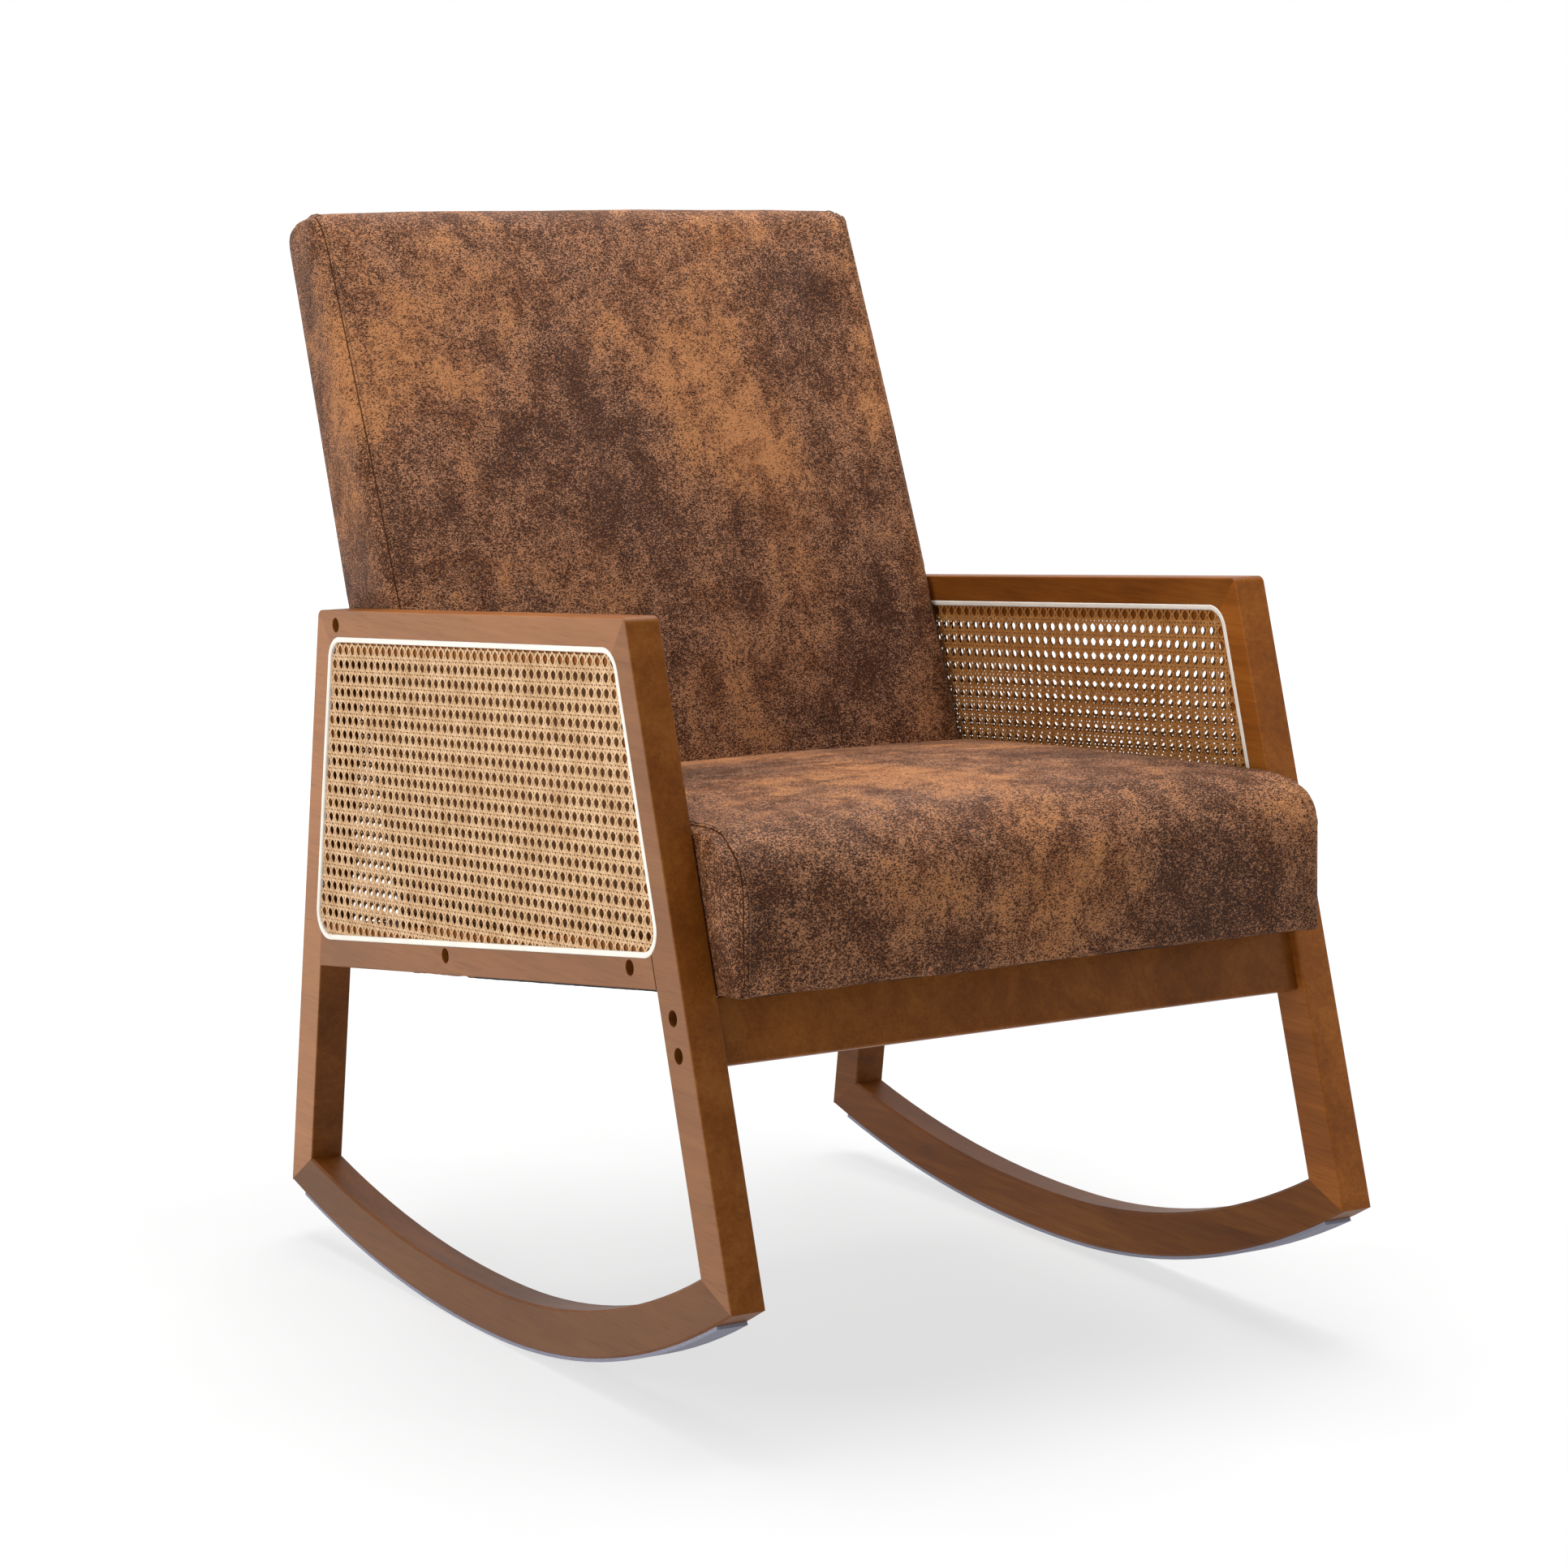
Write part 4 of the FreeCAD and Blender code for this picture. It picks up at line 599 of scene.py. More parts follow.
studio = {
    "top": {"place": (0.3, 0.3, 3.1), "size": 2.6, "power": 140},
    "left": {"place": (-3.4, -0.6, 0.95), "size": 1.7, "power": 60},
    "right": {"place": (2.0, -1.7, 0.9), "size": 0.9, "power": 7},
    "aim": (0, 0, 0.45),
    "sky": {
        "rear": 1.0,
        "front": 0.16,
        "towards": (-0.35, 0.93, 0),
        "turn": 0.35,
        "horizon": (0.05, 0.12),
    },
    "floorSize": 60,
    "glow": {"near": 0.66, "far": 1.0, "from": 0.9, "to": 3.0},
}
for name in ("top", "left", "right"):
    lamp = studio[name]
    bpy.ops.object.light_add(type="AREA", location=lamp["place"])
    light = bpy.context.object
    light.name = name + "Light"
    light.data.size = lamp["size"]
    light.data.energy = lamp["power"]
    aim = Vector(studio["aim"]) - Vector(lamp["place"])
    light.rotation_euler = aim.to_track_quat("-Z", "Y").to_euler()


def makeSky():
    # white behind the chair, to its right side and low all round, dim above in front
    world = bpy.data.worlds.new("studio")
    bpy.context.scene.world = world
    world.use_nodes = True
    made, links = world.node_tree.nodes, world.node_tree.links
    sky = studio["sky"]

    def eased(source, low, high, first, last):
        spread = made.new("ShaderNodeMapRange")
        spread.interpolation_type = "SMOOTHSTEP"
        for key, value in (("From Min", low), ("From Max", high), ("To Min", first), ("To Max", last)):
            spread.inputs[key].default_value = value
        links.new(source, spread.inputs["Value"])
        return spread.outputs[0]

    direction = made.new("ShaderNodeTexCoord").outputs["Generated"]
    toRear = made.new("ShaderNodeVectorMath")
    toRear.operation = "DOT_PRODUCT"
    toRear.inputs[1].default_value = sky["towards"]
    links.new(direction, toRear.inputs[0])
    height = made.new("ShaderNodeSeparateXYZ")
    links.new(direction, height.inputs[0])
    brighter = made.new("ShaderNodeMath")
    brighter.operation = "MAXIMUM"
    around = eased(toRear.outputs["Value"], -sky["turn"], sky["turn"], sky["front"], sky["rear"])
    links.new(around, brighter.inputs[0])
    links.new(eased(height.outputs[2], *sky["horizon"], 1.0, 0.0), brighter.inputs[1])
    made["Background"].inputs[0].default_value = (1, 1, 1, 1)
    links.new(brighter.outputs[0], made["Background"].inputs[1])


makeSky()
bpy.context.scene.view_settings.view_transform = "Standard"

deselectAll()
bpy.ops.mesh.primitive_plane_add(size=studio["floorSize"], location=(0, 0, -0.5 * mm))
floor = bpy.context.object
floor.name = "floor"
bakePlace(floor)
paper = Finish("palePaper", **{"Roughness": 0.9, "Emission Strength": 1.0, "Specular IOR Level": 0.0})
paper.colour(paper.twoTone(paper.clouds(3)))
reach = paper.node("ShaderNodeVectorMath", {"operation": "LENGTH"}, {0: paper.where}).outputs["Value"]
glow = studio["glow"]
paper.feed("Emission Color", paper.ease(reach, glow["from"], glow["to"], glow["near"], glow["far"]))
floor.data.materials.append(paper.material)
floor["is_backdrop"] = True
print("camera, light and floor placed")


# Cane weave: one repeat is made, arrayed, laid on the panel and trimmed.

weave = {
    "pitch": 12.8 * mm,
    "pairOffset": 1.5 * mm,
    "strandWidth": 1.95 * mm,
    "diagonalWidth": 1.7 * mm,
    "thickness": 0.45 * mm,
    "crown": 0.2 * mm,
    "wave": 0.27 * mm,
    "diagonalWave": 0.52 * mm,
    "columns": 56,
    "rows": 29,
    "lead": 1.6,
    "firstRow": 7.0 * mm,
    "underBead": 1.0 * mm,
    "trimCuts": 20,
    "joinWithin": 0.02 * mm,
}
# each panel's weave: how far it is shifted along and up, in repeats, and how much it is drawn out
panels = {
    "right_outer": ((0, 0), (1, 1)),
    "right_inner": ((0.48, 0.16), (1, 1)),
    "left_outer": ((0, 0), (1, 1)),
    "left_inner": ((0.89, 0.15), (1.006, 1.035)),
}


def addStrand(name, length, width, bends):
    # a flat strand along X from 0, with a crowned top and open ends; bends are (place, height) pairs
    near = 0.05 * mm
    bpy.ops.mesh.primitive_cube_add(size=1, location=(length / 2, 0, 0),
                                    scale=(length, width, weave["thickness"]))
    strand = bpy.context.object
    strand.name = name
    bakePlace(strand)
    for place, _ in bends[1:-1]:
        sliceAt(strand, (place, 0, 0), (1, 0, 0))
    sliceAt(strand, (0, 0, 0), (0, 1, 0))
    shiftWhere(strand, lambda point: abs(point.y) < width / 4 and point.z > 0, (0, 0, weave["crown"]))
    for place, height in bends:
        shiftWhere(strand, lambda point: abs(point.x - place) < near, (0, 0, height))
    for end in (0, length):
        selectWhere(strand, lambda point: abs(point.x - end) < near)
        bpy.ops.mesh.delete(type="ONLY_FACE")
        leaveEdit()
    return strand


def placeStrand(strand, start, degrees):
    strand.rotation_euler = (0, 0, math.radians(degrees))
    strand.location = (*start, 0)
    bakePlace(strand)
    return strand


def makeRepeat():
    pitch, offset = weave["pitch"], weave["pairOffset"]
    wave, cross = weave["wave"], weave["diagonalWave"]
    width, half = weave["strandWidth"], weave["pitch"] / 2
    strands = []
    for sign in (1, -1):
        bends = [(0, wave * sign), (2 * offset, -wave * sign), (pitch, wave * sign)]
        across = addStrand("across", pitch, width, bends)
        strands.append(placeStrand(across, (-offset, sign * offset), 0))
        upright = addStrand("upright", pitch, width, bends)
        strands.append(placeStrand(upright, (-sign * offset, -offset), 90))
    reach = half * math.sqrt(2)
    for start, degrees, sign in (((0, half), -45, 1), ((half, pitch), -45, -1),
                                 ((0, half), 45, -1), ((half, 0), 45, 1)):
        bends = [(0, -cross * sign), (reach, cross * sign)]
        diagonal = addStrand("diagonal", reach, weave["diagonalWidth"], bends)
        strands.append(placeStrand(diagonal, start, degrees))
    return joinPieces(strands, "caneRepeat")


def outlineReach(places, direction):
    # how far the panel reaches in a direction of the side view
    return float(np.max(places[:, 1] * direction[0] + places[:, 2] * direction[1]))


def weaveSheet():
    # the repeat is arrayed to a sheet larger than any panel
    sheet = makeRepeat()
    for name, offset, count in (("columns", (weave["pitch"], 0, 0), weave["columns"]),
                                ("rows", (0, weave["pitch"], 0), weave["rows"])):
        array = sheet.modifiers.new(name, "ARRAY")
        array.use_relative_offset = False
        array.use_constant_offset = True
        array.constant_offset_displace = offset
        array.count = count
        array.use_merge_vertices = True
        array.merge_threshold = weave["joinWithin"]
    applyAll(sheet)
    return sheet


def cutPanel(sheet, name, node, shift, pull):
    # a panel is drawn out, laid in its frame and cut back to the outline of its node
    panel = copyPiece(sheet, name)
    panel.data.transform(Matrix.Diagonal((*pull, 1, 1)))
    low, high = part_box(node)
    places = pointsOf(nodes[node])
    along = Vector((0, math.cos(armSlope), -math.sin(armSlope)))
    up = Vector((0, math.sin(armSlope), math.cos(armSlope)))
    top = outlineReach(places, (up.y, up.z))
    front = -outlineReach(places, (-along.y, -along.z))
    pitch = weave["pitch"]
    startUp = top - weave["firstRow"] - pitch * pull[1] * (weave["rows"] - 0.5 - shift[1])
    origin = along * (front - pitch * (weave["lead"] - shift[0])) + up * startUp
    origin.x = (low.x + high.x) / 2
    turn = Matrix((along, up, Vector((1, 0, 0)))).transposed().to_4x4()
    panel.data.transform(Matrix.Translation(origin) @ turn)
    for step in range(weave["trimCuts"]):
        angle = 2 * math.pi * step / weave["trimCuts"]
        cutBack(panel, places, (math.cos(angle), math.sin(angle)))
    for direction in ((-math.sin(frontLean), math.cos(frontLean)), (up.y, up.z),
                      (math.sin(rearLean), math.cos(rearLean)),
                      (-math.sin(railSlope), -math.cos(railSlope))):
        cutBack(panel, places, direction)
    panel.data.validate()  # drops the few doubled faces that the cuts leave
    return panel


def cutBack(panel, places, direction):
    reach = outlineReach(places, direction) + weave["underBead"]
    sliceAt(panel, (0, direction[0] * reach, direction[1] * reach), (0, *direction), True, True)


deselectAll()
sheet = weaveSheet()
for name, laid in panels.items():
    side, face = name.split("_")
    panel = cutPanel(sheet, side + face.capitalize() + "Cane", name + "_cane", *laid)
    panel.data.materials.clear()
    panel.data.materials.append(canes[name])
    smoothByAngle(panel)
    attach(panel, "root")
    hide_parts(name + "_cane")
bpy.data.objects.remove(sheet)
print("cane woven, triangles in a panel:", sum(len(face.vertices) - 2 for face in panel.data.polygons))


# Cushions: a block is shaped to the side profile, blown up as cloth and sewn.

def roundedProfile(corners, radii, bows, step):
    # closed side profile as (y, z), with a point about every step
    arcParts = 6
    count = len(corners)
    ends = []
    for index, corner in enumerate(corners):
        back = (corners[index - 1] - corner).normalized()
        ahead = (corners[(index + 1) % count] - corner).normalized()
        halfAngle = back.angle(ahead) / 2
        tangent = radii[index] / math.tan(halfAngle)
        centre = corner + (back + ahead).normalized() * (radii[index] / math.sin(halfAngle))
        ends.append((corner + back * tangent, centre, corner + ahead * tangent))
    points = []
    for index in range(count):
        first, centre, last = ends[index]
        for part in range(arcParts + 1):
            spoke = (first - centre).lerp(last - centre, part / arcParts).normalized()
            points.append(centre + spoke * radii[index])
        start, end = last, ends[(index + 1) % count][0]
        run = end - start
        outward = Vector((run.y, -run.x)).normalized()
        steps = max(2, round((corners[(index + 1) % count] - corners[index]).length / step))
        for part in range(1, steps):
            share = part / steps
            points.append(start + run * share + outward * (bows[index] * 4 * share * (1 - share)))
    return points


blockShape = {
    "near": 0.1 * mm,
    "endTurns": 3,
    "fade": 2.4,
    "crownDepth": 20 * mm,
}


def blockOut(name, plan):
    # a cube is pulled to the side profile, rounded, and cut into an even grid
    near = blockShape["near"]
    deselectAll()
    half = plan["halfWidth"]
    bpy.ops.mesh.primitive_cube_add(size=1, scale=(2 * half, 1, 1))
    block = bpy.context.object
    block.name = name
    bakePlace(block)
    corners = insetCorners(plan["corners"], plan["slack"])
    for (ySign, zSign), corner in zip(((-1, -1), (1, -1), (1, 1), (-1, 1)), corners):
        shiftWhere(block, lambda point: abs(point.y - ySign / 2) < mm and abs(point.z - zSign / 2) < mm,
                   (0, corner.x - ySign / 2, corner.y - zSign / 2))
    for index, corner in enumerate(corners):
        back = corners[index - 1] - corner
        ahead = corners[(index + 1) % 4] - corner
        tangent = plan["radii"][index] / math.tan(back.angle(ahead) / 2)
        selectWhere(block, lambda point: (Vector((point.y, point.z)) - corner).length < near)
        bpy.ops.mesh.bevel(offset=tangent, offset_type="OFFSET", affect="EDGES",
                           segments=plan["turns"][index])
        leaveEdit()
    for side in (-1, 1):
        selectWhere(block, lambda point: abs(point.x - side * half) < near)
        bpy.ops.mesh.bevel(offset=plan["endRadius"], offset_type="OFFSET", affect="EDGES",
                           segments=blockShape["endTurns"])
        leaveEdit()
    lowFront, lowRear, highRear, highFront = corners
    pick(block)
    bpy.ops.object.mode_set(mode="EDIT")
    for part in range(1, plan["cuts"][0]):
        cutThrough((half * (2 * part / plan["cuts"][0] - 1), 0, 0), (1, 0, 0))
    fanCuts(lowFront, highFront, lowRear, highRear, plan["cuts"][1])
    fanCuts(lowFront, lowRear, highFront, highRear, plan["cuts"][2])
    leaveEdit()
    noteSeam(block, plan, corners)
    crownFaces(block, plan, corners)
    return block


def cutThrough(place, normal):
    bpy.ops.mesh.select_all(action="SELECT")
    bpy.ops.mesh.bisect(plane_co=place, plane_no=normal)


def fanCuts(firstStart, lastStart, firstEnd, lastEnd, count):
    # planes that turn evenly from one edge of the profile to the edge across from it
    for part in range(1, count):
        first = firstStart.lerp(firstEnd, part / count)
        run = lastStart.lerp(lastEnd, part / count) - first
        cutThrough((0, first.x, first.y), (0, -run.y, run.x))


def depthsInside(places, corners):
    # for each edge of the profile: the share along it and the depth inside it of every point
    found = []
    for index, corner in enumerate(corners):
        run = corners[(index + 1) % 4] - corner
        along = run.normalized()
        offset = places[:, 1:] - np.array(corner)
        share = np.clip((offset @ np.array(along)) / run.length, 0, 1)
        depth = offset @ np.array((-along.y, along.x))
        found.append((share, depth, along))
    return found


def noteSeam(block, plan, corners):
    # signed distance from the seam: positive on the wrap, negative on the side gusset
    places = pointsOf(block)
    end = plan["endRadius"]
    fromEnd = np.clip(plan["halfWidth"] - np.abs(places[:, 0]), 0, None)
    turned = np.sqrt(np.clip(end ** 2 - (end - np.minimum(fromEnd, end)) ** 2, 0, None))
    onWrap = np.where(fromEnd < end, fromEnd - end + turned, fromEnd)
    inside = np.min([depth for _, depth, _ in depthsInside(places, corners)], axis=0)
    onGusset = -np.maximum(end, inside)
    noted = block.data.attributes.new("fromSeam", "FLOAT", "POINT")
    noted.data.foreach_set("value", np.where(fromEnd < blockShape["near"], onGusset, onWrap))


def crownFaces(block, plan, corners):
    # each face swells: bows all across, crowns fading towards the sides
    places = pointsOf(block)
    fade = 1 - np.abs(places[:, 0] / plan["halfWidth"]) ** blockShape["fade"]
    moves = np.zeros((len(places), 2))
    for index, (share, depth, along) in enumerate(depthsInside(places, corners)):
        lift = (plan["bows"][index] + plan["crowns"][index] * fade) * 4 * share * (1 - share)
        lift = lift * np.exp(-np.clip(depth, 0, None) / blockShape["crownDepth"])
        moves += lift[:, None] * np.array((along.y, -along.x))
    places[:, 1:] += moves
    setPoints(block, places)


def insetCorners(corners, inset):
    # the corners of the profile when all its edges move inwards
    corners = [Vector(corner) for corner in corners]
    count = len(corners)
    lines = []
    for index in range(count):
        run = (corners[(index + 1) % count] - corners[index]).normalized()
        lines.append((corners[index] + Vector((-run.y, run.x)) * inset, run))
    moved = []
    for index in range(count):
        (startA, runA), (startB, runB) = lines[index - 1], lines[index]
        gap = startB - startA
        travel = (gap.x * runB.y - gap.y * runB.x) / (runA.x * runB.y - runA.y * runB.x)
        moved.append(startA + runA * travel)
    return moved


clothRun = {
    "frames": 20,
    "quality": 4,
    "bending": 2.0,
}


def inflate(cushion, plan):
    # cloth under pressure; the held points stay still, and how far a point may move is capped
    before = pointsOf(cushion)
    pinned = cushion.vertex_groups.new(name="held")
    held = [index for index, place in enumerate(before) if plan["held"](place)]
    pinned.add(held, 1.0, "ADD")
    cloth = cushion.modifiers.new("cloth", "CLOTH")
    cloth.settings.use_pressure = True
    cloth.settings.uniform_pressure_force = plan["pressure"]
    cloth.settings.effector_weights.gravity = 0
    cloth.settings.vertex_group_mass = "held"
    cloth.settings.quality = clothRun["quality"]
    cloth.settings.bending_stiffness = clothRun["bending"]
    for number in range(1, clothRun["frames"] + 1):
        bpy.context.scene.frame_set(number)
    evaluated = cushion.evaluated_get(bpy.context.evaluated_depsgraph_get())
    after = np.zeros(len(before) * 3)
    evaluated.data.vertices.foreach_get("co", after)
    after = after.reshape(-1, 3)
    cushion.modifiers.remove(cloth)
    bpy.context.scene.frame_set(1)
    move = after - before
    far = np.linalg.norm(move, axis=1, keepdims=True)
    print(cushion.name, "swelled by up to", round(float(far.max()) / mm, 1), "mm before the cap")
    setPoints(cushion, before + move * plan["cap"] / (plan["cap"] + far))
    cushion.vertex_groups.clear()
    finer = cushion.modifiers.new("finer", "SUBSURF")
    finer.levels = 1
    finer.render_levels = 1
    applyAll(cushion)


frameLines = {
    "halfGap": 0.2874,
    "clear": 2 * mm,
    "spread": 12 * mm,
    "spreadRun": 30 * mm,
}
seamShape = {
    "grooveWidth": 1.6 * mm,
    "puckerFrom": 6 * mm,
    "puckerRun": 9 * mm,
    "puckerRate": 110,
    "rippleRates": (9, 27),
    "turnIn": 0.7 * mm,
}


def sideRoom(places):
    # the frames hold a cushion in; it swells where it stands above an arm or in front of a leg
    armY, armZ = frameCorners["armFront"]
    footY, footZ = frameCorners["frontFoot"]
    above = places[:, 2] - armZ + (places[:, 1] - armY) * math.tan(armSlope)
    ahead = footY + (places[:, 2] - footZ) / math.tan(frontLean) - places[:, 1]
    past = np.maximum(above, ahead) - frameLines["clear"]
    share = np.clip(past / frameLines["spreadRun"], 0, 1)
    return frameLines["halfGap"] + frameLines["spread"] * share ** 2 * (3 - 2 * share)


def sewAndWrinkle(cushion, plan):
    # draws the seams in, puckers the leather beside them and keeps clear of the frames
    places = pointsOf(cushion)
    normals = np.zeros(len(places) * 3)
    cushion.data.vertices.foreach_get("normal", normals)
    normals = normals.reshape(-1, 3)
    fromSeam = np.zeros(len(places))
    cushion.data.attributes["fromSeam"].data.foreach_get("value", fromSeam)
    groove = np.exp(-(fromSeam / seamShape["grooveWidth"]) ** 2) * plan["groove"]
    near = np.exp(-((fromSeam - seamShape["puckerFrom"]) / seamShape["puckerRun"]) ** 2) * plan["pucker"]
    pucker = np.array([noise.noise(Vector((0, place[1], place[2])) * seamShape["puckerRate"])
                       for place in places]) * near
    slow, quick = seamShape["rippleRates"]
    ripple = np.array([noise.noise(Vector(place) * slow) * 0.7 + noise.noise(Vector(place) * quick) * 0.3
                       for place in places]) * plan["ripple"]
    places += normals * (pucker + ripple - groove)[:, None]
    depth = np.clip(-fromSeam - plan["endRadius"], 0, plan["bulgeRun"])
    swell = plan["bulge"] * np.sqrt(1 - (1 - depth / plan["bulgeRun"]) ** 2)
    low = np.where(depth > 0, plan["halfWidth"] - seamShape["turnIn"] + swell, 0)
    sideways = np.maximum(np.abs(places[:, 0]), low)
    places[:, 0] = np.sign(places[:, 0]) * np.minimum(sideways, sideRoom(places))
    setPoints(cushion, plan["fit"](places))
    for face in cushion.data.polygons:
        face.use_smooth = True


stitching = {
    "size": (2.5 * mm, 0.95 * mm, 0.8 * mm),
    "arch": 0.25 * mm,
    "worn": 0.2 * mm,
    "lift": 0.25 * mm,
    "outside": 6 * mm,
    "step": 4 * mm,
    "longestGap": 30 * mm,
}


def makeStitch():
    # one short bar of thread, modelled once
    deselectAll()
    bpy.ops.mesh.primitive_cube_add(size=1, scale=stitching["size"])
    stitch = bpy.context.object
    bakePlace(stitch)
    sliceAt(stitch, (0, 0, 0), (1, 0, 0))
    shiftWhere(stitch, lambda point: abs(point.x) < 0.1 * mm, (0, 0, stitching["arch"]))
    bevel = stitch.modifiers.new("worn", "BEVEL")
    bevel.width = stitching["worn"]
    bevel.segments = 1
    applyAll(stitch)
    return stitch


def sewStitches(cushion, plan, stitch, name):
    # a row of stitches on each side, laid on the leather beside the seam
    tree = BVHTree.FromObject(cushion, bpy.context.evaluated_depsgraph_get())
    outside = insetCorners(plan["corners"], -stitching["outside"])
    path = roundedProfile(outside, plan["radii"], plan["bows"], stitching["step"])
    shape = pointsOf(stitch)
    faces = [tuple(face.vertices) for face in stitch.data.polygons]
    places, sides = [], []
    for side in (-1, 1):
        x = side * (plan["halfWidth"] - plan["stitchInset"])
        snapped = [tree.find_nearest(Vector((x, point.x, point.y))) for point in path]
        spots = [(found[0], found[1]) for found in snapped if plan["stitched"](found[0])]
        travelled, due = 0.0, 0.0
        for (spot, normal), (following, _) in zip(spots, spots[1:]):
            gap = following - spot
            if gap.length > stitching["longestGap"]:
                continue
            while due <= travelled + gap.length:
                at = spot + gap * ((due - travelled) / max(gap.length, 1e-6))
                along = gap.normalized()
                across = normal.cross(along).normalized()
                turn = np.array((along, across, along.cross(across))).T
                sides.append(len(places) * len(shape))
                places.append(shape @ turn.T + np.array(at + normal * stitching["lift"]))
                due += plan["stitchPitch"]
            travelled += gap.length
    mesh = bpy.data.meshes.new(name)
    allFaces = [tuple(start + point for point in face) for start in sides for face in faces]
    mesh.from_pydata(np.concatenate(places).tolist(), [], allFaces)
    row = bpy.data.objects.new(name, mesh)
    bpy.context.scene.collection.objects.link(row)
    row.data.materials.append(thread)
    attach(row, "root")
    print(name, "stitches:", len(places))


# the seat's lower edge: squared against the frame at the sides, hanging in waves in front
hemShape = {
    "squareHeight": 8 * mm,
    "squareFrom": 0.277,
    "squareDraw": 1.3,
    "waveFrom": -0.374,
    "waveRun": 14 * mm,
    "waveHeight": 30 * mm,
    "drop": 1.6 * mm,
    "wave": 1.5 * mm,
    "waveRate": 17,
}


def fitSeat(places):
    # flat underneath, and the front hem hangs a little lower in slow waves
    hem = hemHeight(places[:, 1])
    places[:, 2] = np.maximum(places[:, 2], hem)
    squareEnds(places, hem)
    front = np.clip((hemShape["waveFrom"] - places[:, 1]) / hemShape["waveRun"], 0, 1)
    low = np.clip(1 - (places[:, 2] - hem) / hemShape["waveHeight"], 0, 1)
    rate = hemShape["waveRate"]
    wave = np.array([noise.noise(Vector((x * rate, 3.3, 0))) for x in places[:, 0]])
    places[:, 2] -= front * low * (hemShape["drop"] + wave * hemShape["wave"])
    return places


def squareEnds(places, hem):
    # the lower edge of each side is pressed square against the frame
    start, height = hemShape["squareFrom"], hemShape["squareHeight"]
    lift = places[:, 2] - hem
    edge = (lift < height) & (np.abs(places[:, 0]) > start)
    places[:, 2] = np.where(edge, hem + lift ** 2 / height, places[:, 2])
    out = start + (np.abs(places[:, 0]) - start) * hemShape["squareDraw"]
    squared = np.sign(places[:, 0]) * np.minimum(out, frameLines["halfGap"])
    places[:, 0] = np.where(edge, squared, places[:, 0])


def fitBack(places):
    # flat underneath, and the two upper corners are rounded as seen from the front
    places[:, 2] = np.maximum(places[:, 2], hemHeight(places[:, 1]))
    rear, front = Vector(back["corners"][2]), Vector(back["corners"][3])
    along = (front - rear).normalized()
    outward = np.array((along.y, -along.x))
    radius = back["shoulder"]
    down = radius + (places[:, 1:] - np.array(front)) @ outward
    out = radius + np.abs(places[:, 0]) - back["halfWidth"]
    corner = (down > 0) & (out > 0)
    shrink = np.where(corner, np.maximum(down, out) / np.hypot(down, out), 1)
    places[:, 0] -= np.sign(places[:, 0]) * np.where(corner, out * (1 - shrink), 0)
    places[:, 1:] -= np.where(corner, down * (1 - shrink), 0)[:, None] * outward
    return places


# corners, radii, turns, bows and crowns go round the side profile, from the lower front by way of the
# rear. cuts are the rows of faces across, along and through. held tells which points stay still, and
# stitched where thread shows. A wash is a middle, a size and an amount
seat = {
    "corners": ((-0.3975, hemHeight(-0.3975)), (0.0785, hemHeight(0.0785)),
                (0.1475, 0.4595), (-0.3975, 0.4945)),
    "radii": (5 * mm, 4 * mm, 9 * mm, 54 * mm),
    "turns": (3, 3, 3, 9),
    "bows": (0, 0, 5 * mm, 3 * mm),
    "crowns": (0, 0, 9 * mm, 2 * mm),
    "halfWidth": 0.2862,
    "bulge": 9 * mm,
    "bulgeRun": 26 * mm,
    "slack": 0.6 * mm,
    "endRadius": 4 * mm,
    "cuts": (70, 64, 17),
    "pressure": 4,
    "cap": 5 * mm,
    "held": lambda place: (place[2] < hemHeight(place[1]) + 0.004
                           or place[1] > 0.06 + (place[2] - 0.3) * 0.42),
    "stitchInset": 6.5 * mm,
    "stitchPitch": 3.6 * mm,
    "stitched": lambda place: place.z > hemHeight(place.y) + 0.012 and place.y < 0.12,
    "pucker": 1.1 * mm,
    "ripple": 1.0 * mm,
    "groove": 1.0 * mm,
    "fit": fitSeat,
    "washes": (((-0.19, -0.37, 0.42), 0.11, 0.3), ((0.2, -0.38, 0.43), 0.13, 0.32),
               ((0.02, -0.39, 0.42), 0.11, -0.28), ((-0.03, -0.24, 0.5), 0.2, -0.5),
               ((-0.2, -0.1, 0.5), 0.14, 0.4), ((0.2, -0.22, 0.5), 0.16, 0.4)),
}
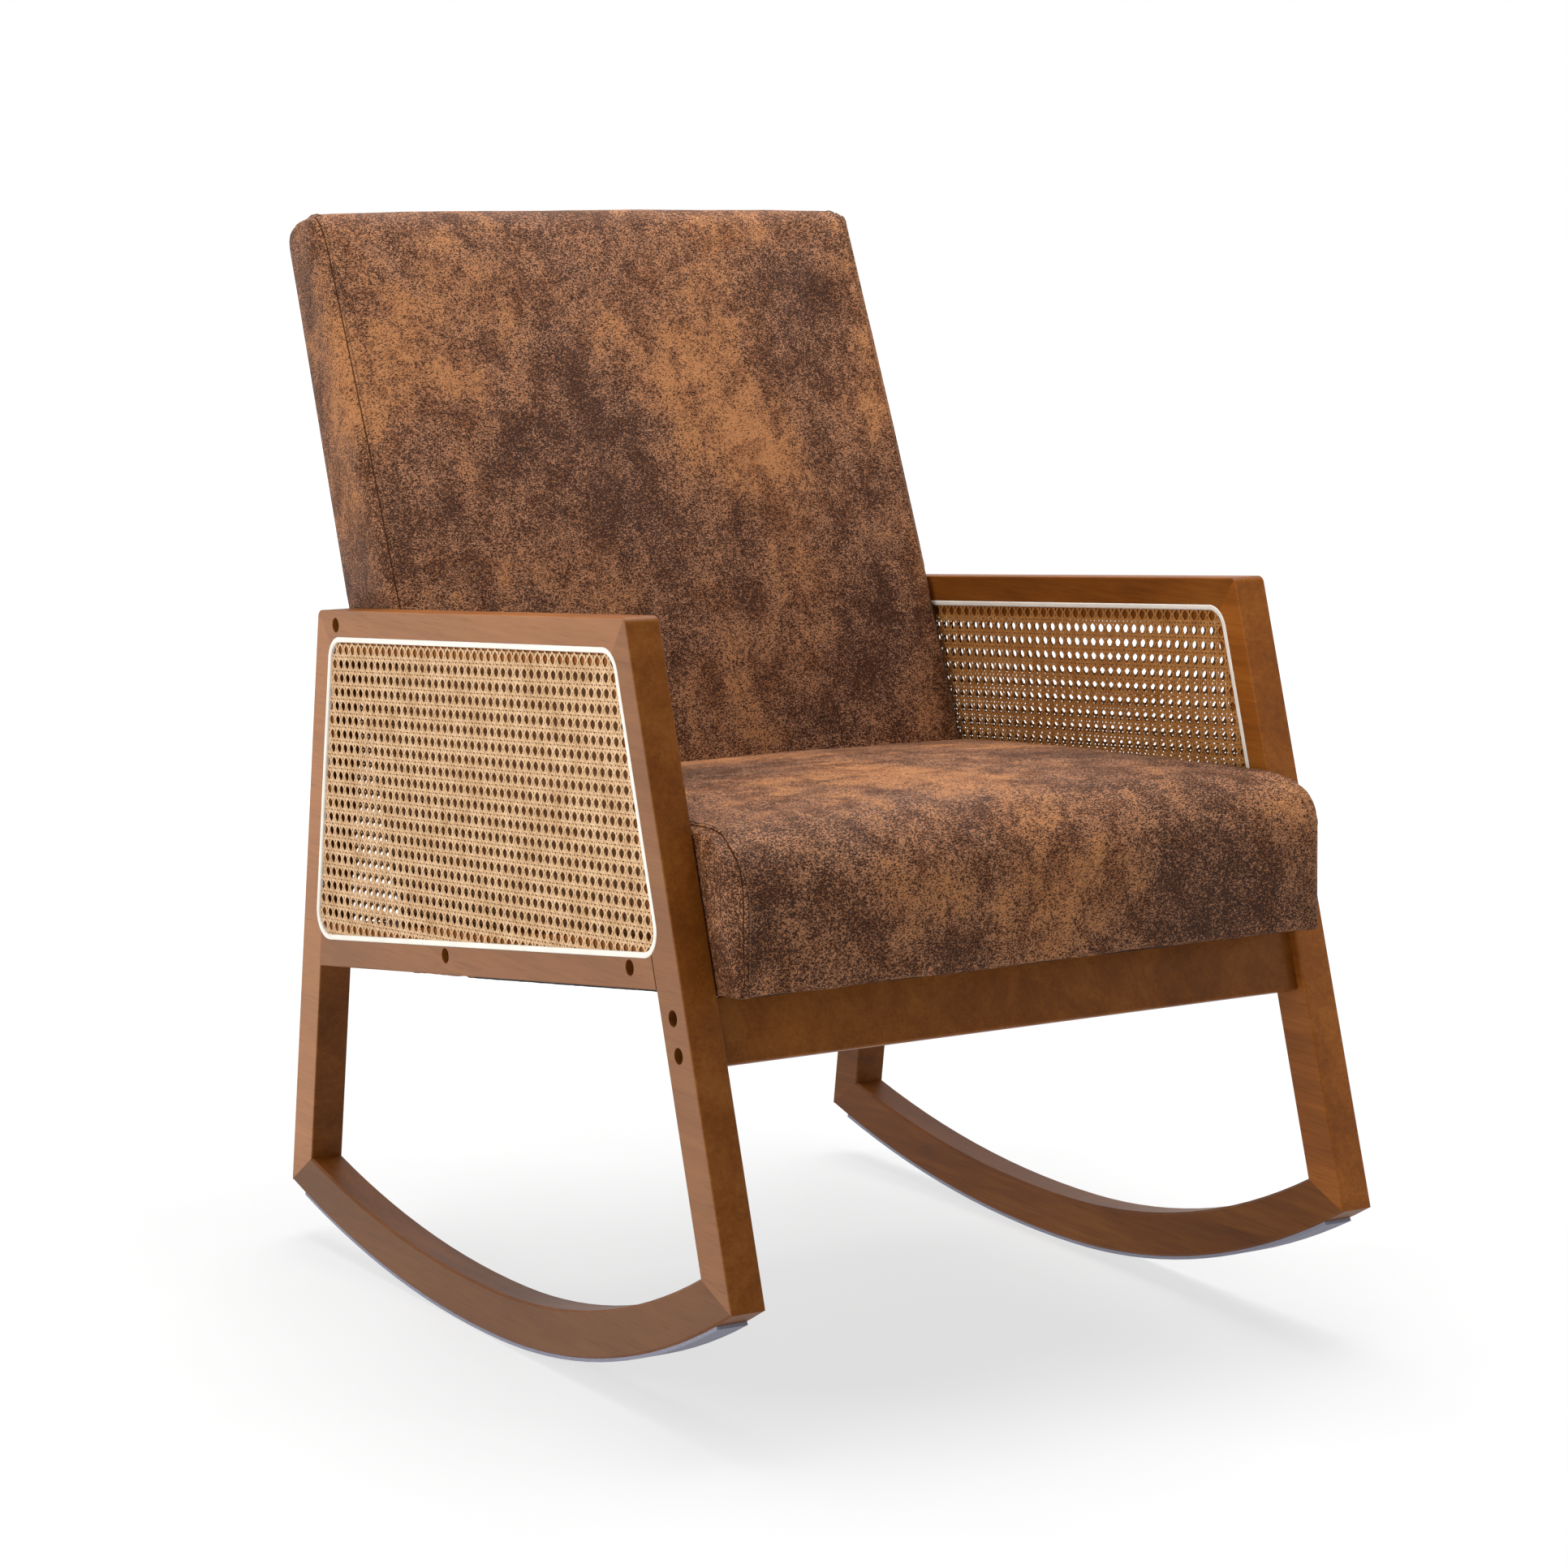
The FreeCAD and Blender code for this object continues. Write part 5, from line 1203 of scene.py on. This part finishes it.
back = {
    "corners": ((0.0864, hemHeight(0.0864)), (0.1974, hemHeight(0.1974)),
                (0.4375, 0.9570), (0.3652, 0.9680)),
    "radii": (9 * mm, 9 * mm, 36 * mm, 22 * mm),
    "turns": (3, 3, 7, 6),
    "bows": (0, 0, 1 * mm, 10 * mm),
    "crowns": (0, 1 * mm, 3 * mm, 3 * mm),
    "halfWidth": 0.2875,
    "bulge": 5.5 * mm,
    "bulgeRun": 26 * mm,
    "shoulder": 11 * mm,
    "slack": 0.6 * mm,
    "endRadius": 4 * mm,
    "cuts": (70, 12, 86),
    "pressure": 4,
    "cap": 4 * mm,
    "held": lambda place: (place[2] < hemHeight(place[1]) + 0.004
                           or place[1] > 0.186 + (place[2] - 0.28) * 0.362),
    "stitchInset": 6.5 * mm,
    "stitchPitch": 3.6 * mm,
    "stitched": lambda place: place.z > 0.45 and place.y < 0.19 + (place.z - 0.28) * 0.362,
    "pucker": 0.7 * mm,
    "ripple": 0.9 * mm,
    "groove": 1.0 * mm,
    "fit": fitBack,
    "washes": (((-0.08, 0.25, 0.71), 0.17, 0.32), ((0.21, 0.32, 0.88), 0.12, 0.3),
               ((0.12, 0.17, 0.52), 0.17, 0.3), ((0.1, 0.27, 0.75), 0.13, -0.34),
               ((0.02, 0.31, 0.85), 0.12, -0.2), ((-0.25, 0.3, 0.8), 0.14, -0.25)),
}

stitch = makeStitch()
for plan, name, seed, hidden in (
    (seat, "seatCushion", (0.7, 1.9, 0.4), ("seat_cover", "seat_foam")),
    (back, "backCushion", (3.1, 0.2, 2.2), ("back_cover", "back_foam")),
):
    cushion = blockOut(name, plan)
    inflate(cushion, plan)
    sewAndWrinkle(cushion, plan)
    cushion.data.materials.append(hideFinish(name + "Hide", seed, plan["washes"]))
    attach(cushion, "root")
    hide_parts(*hidden)
    sewStitches(cushion, plan, stitch, name + "Stitches")
    print(name, "done, faces:", len(cushion.data.polygons))
bpy.data.objects.remove(stitch)


# Dust cover: thin black cloth stapled under the seat.

dust = {
    "sag": 2.5 * mm,
    "thickness": 0.6 * mm,
    "drop": 1.1 * mm,
    "puckers": 0.6 * mm,
    "puckerRate": 22,
    "cuts": 40,
}
low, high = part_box("seat_dust_cover")
dustDepth, dustMiddle = high.y - low.y, (low.y + high.y) / 2
deselectAll()
bpy.ops.mesh.primitive_plane_add(size=1, location=(0, dustMiddle, 0))
dustCover = bpy.context.object
dustCover.name = "dustCover"
dustCover.scale = (high.x - low.x, dustDepth, 1)
bakePlace(dustCover)
pick(dustCover)
bpy.ops.object.mode_set(mode="EDIT")
bpy.ops.mesh.subdivide(number_cuts=dust["cuts"])
leaveEdit()
places = pointsOf(dustCover)
acrossShare = 1 - (2 * places[:, 0] / (high.x - low.x)) ** 2
alongShare = 1 - (2 * (places[:, 1] - dustMiddle) / dustDepth) ** 2
puckers = np.array([noise.noise(Vector(place) * dust["puckerRate"]) for place in places]) * dust["puckers"]
flat = hemHeight(places[:, 1]) - dust["drop"]
places[:, 2] = flat - acrossShare * alongShare * dust["sag"] + puckers
setPoints(dustCover, places)
solid = dustCover.modifiers.new("cloth", "SOLIDIFY")
solid.thickness = dust["thickness"]
applyAll(dustCover)
dustCover.data.materials.append(dustCloth)
smoothByAngle(dustCover)
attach(dustCover, "root")
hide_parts("seat_dust_cover")
print("dust cover stretched")

low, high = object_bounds()
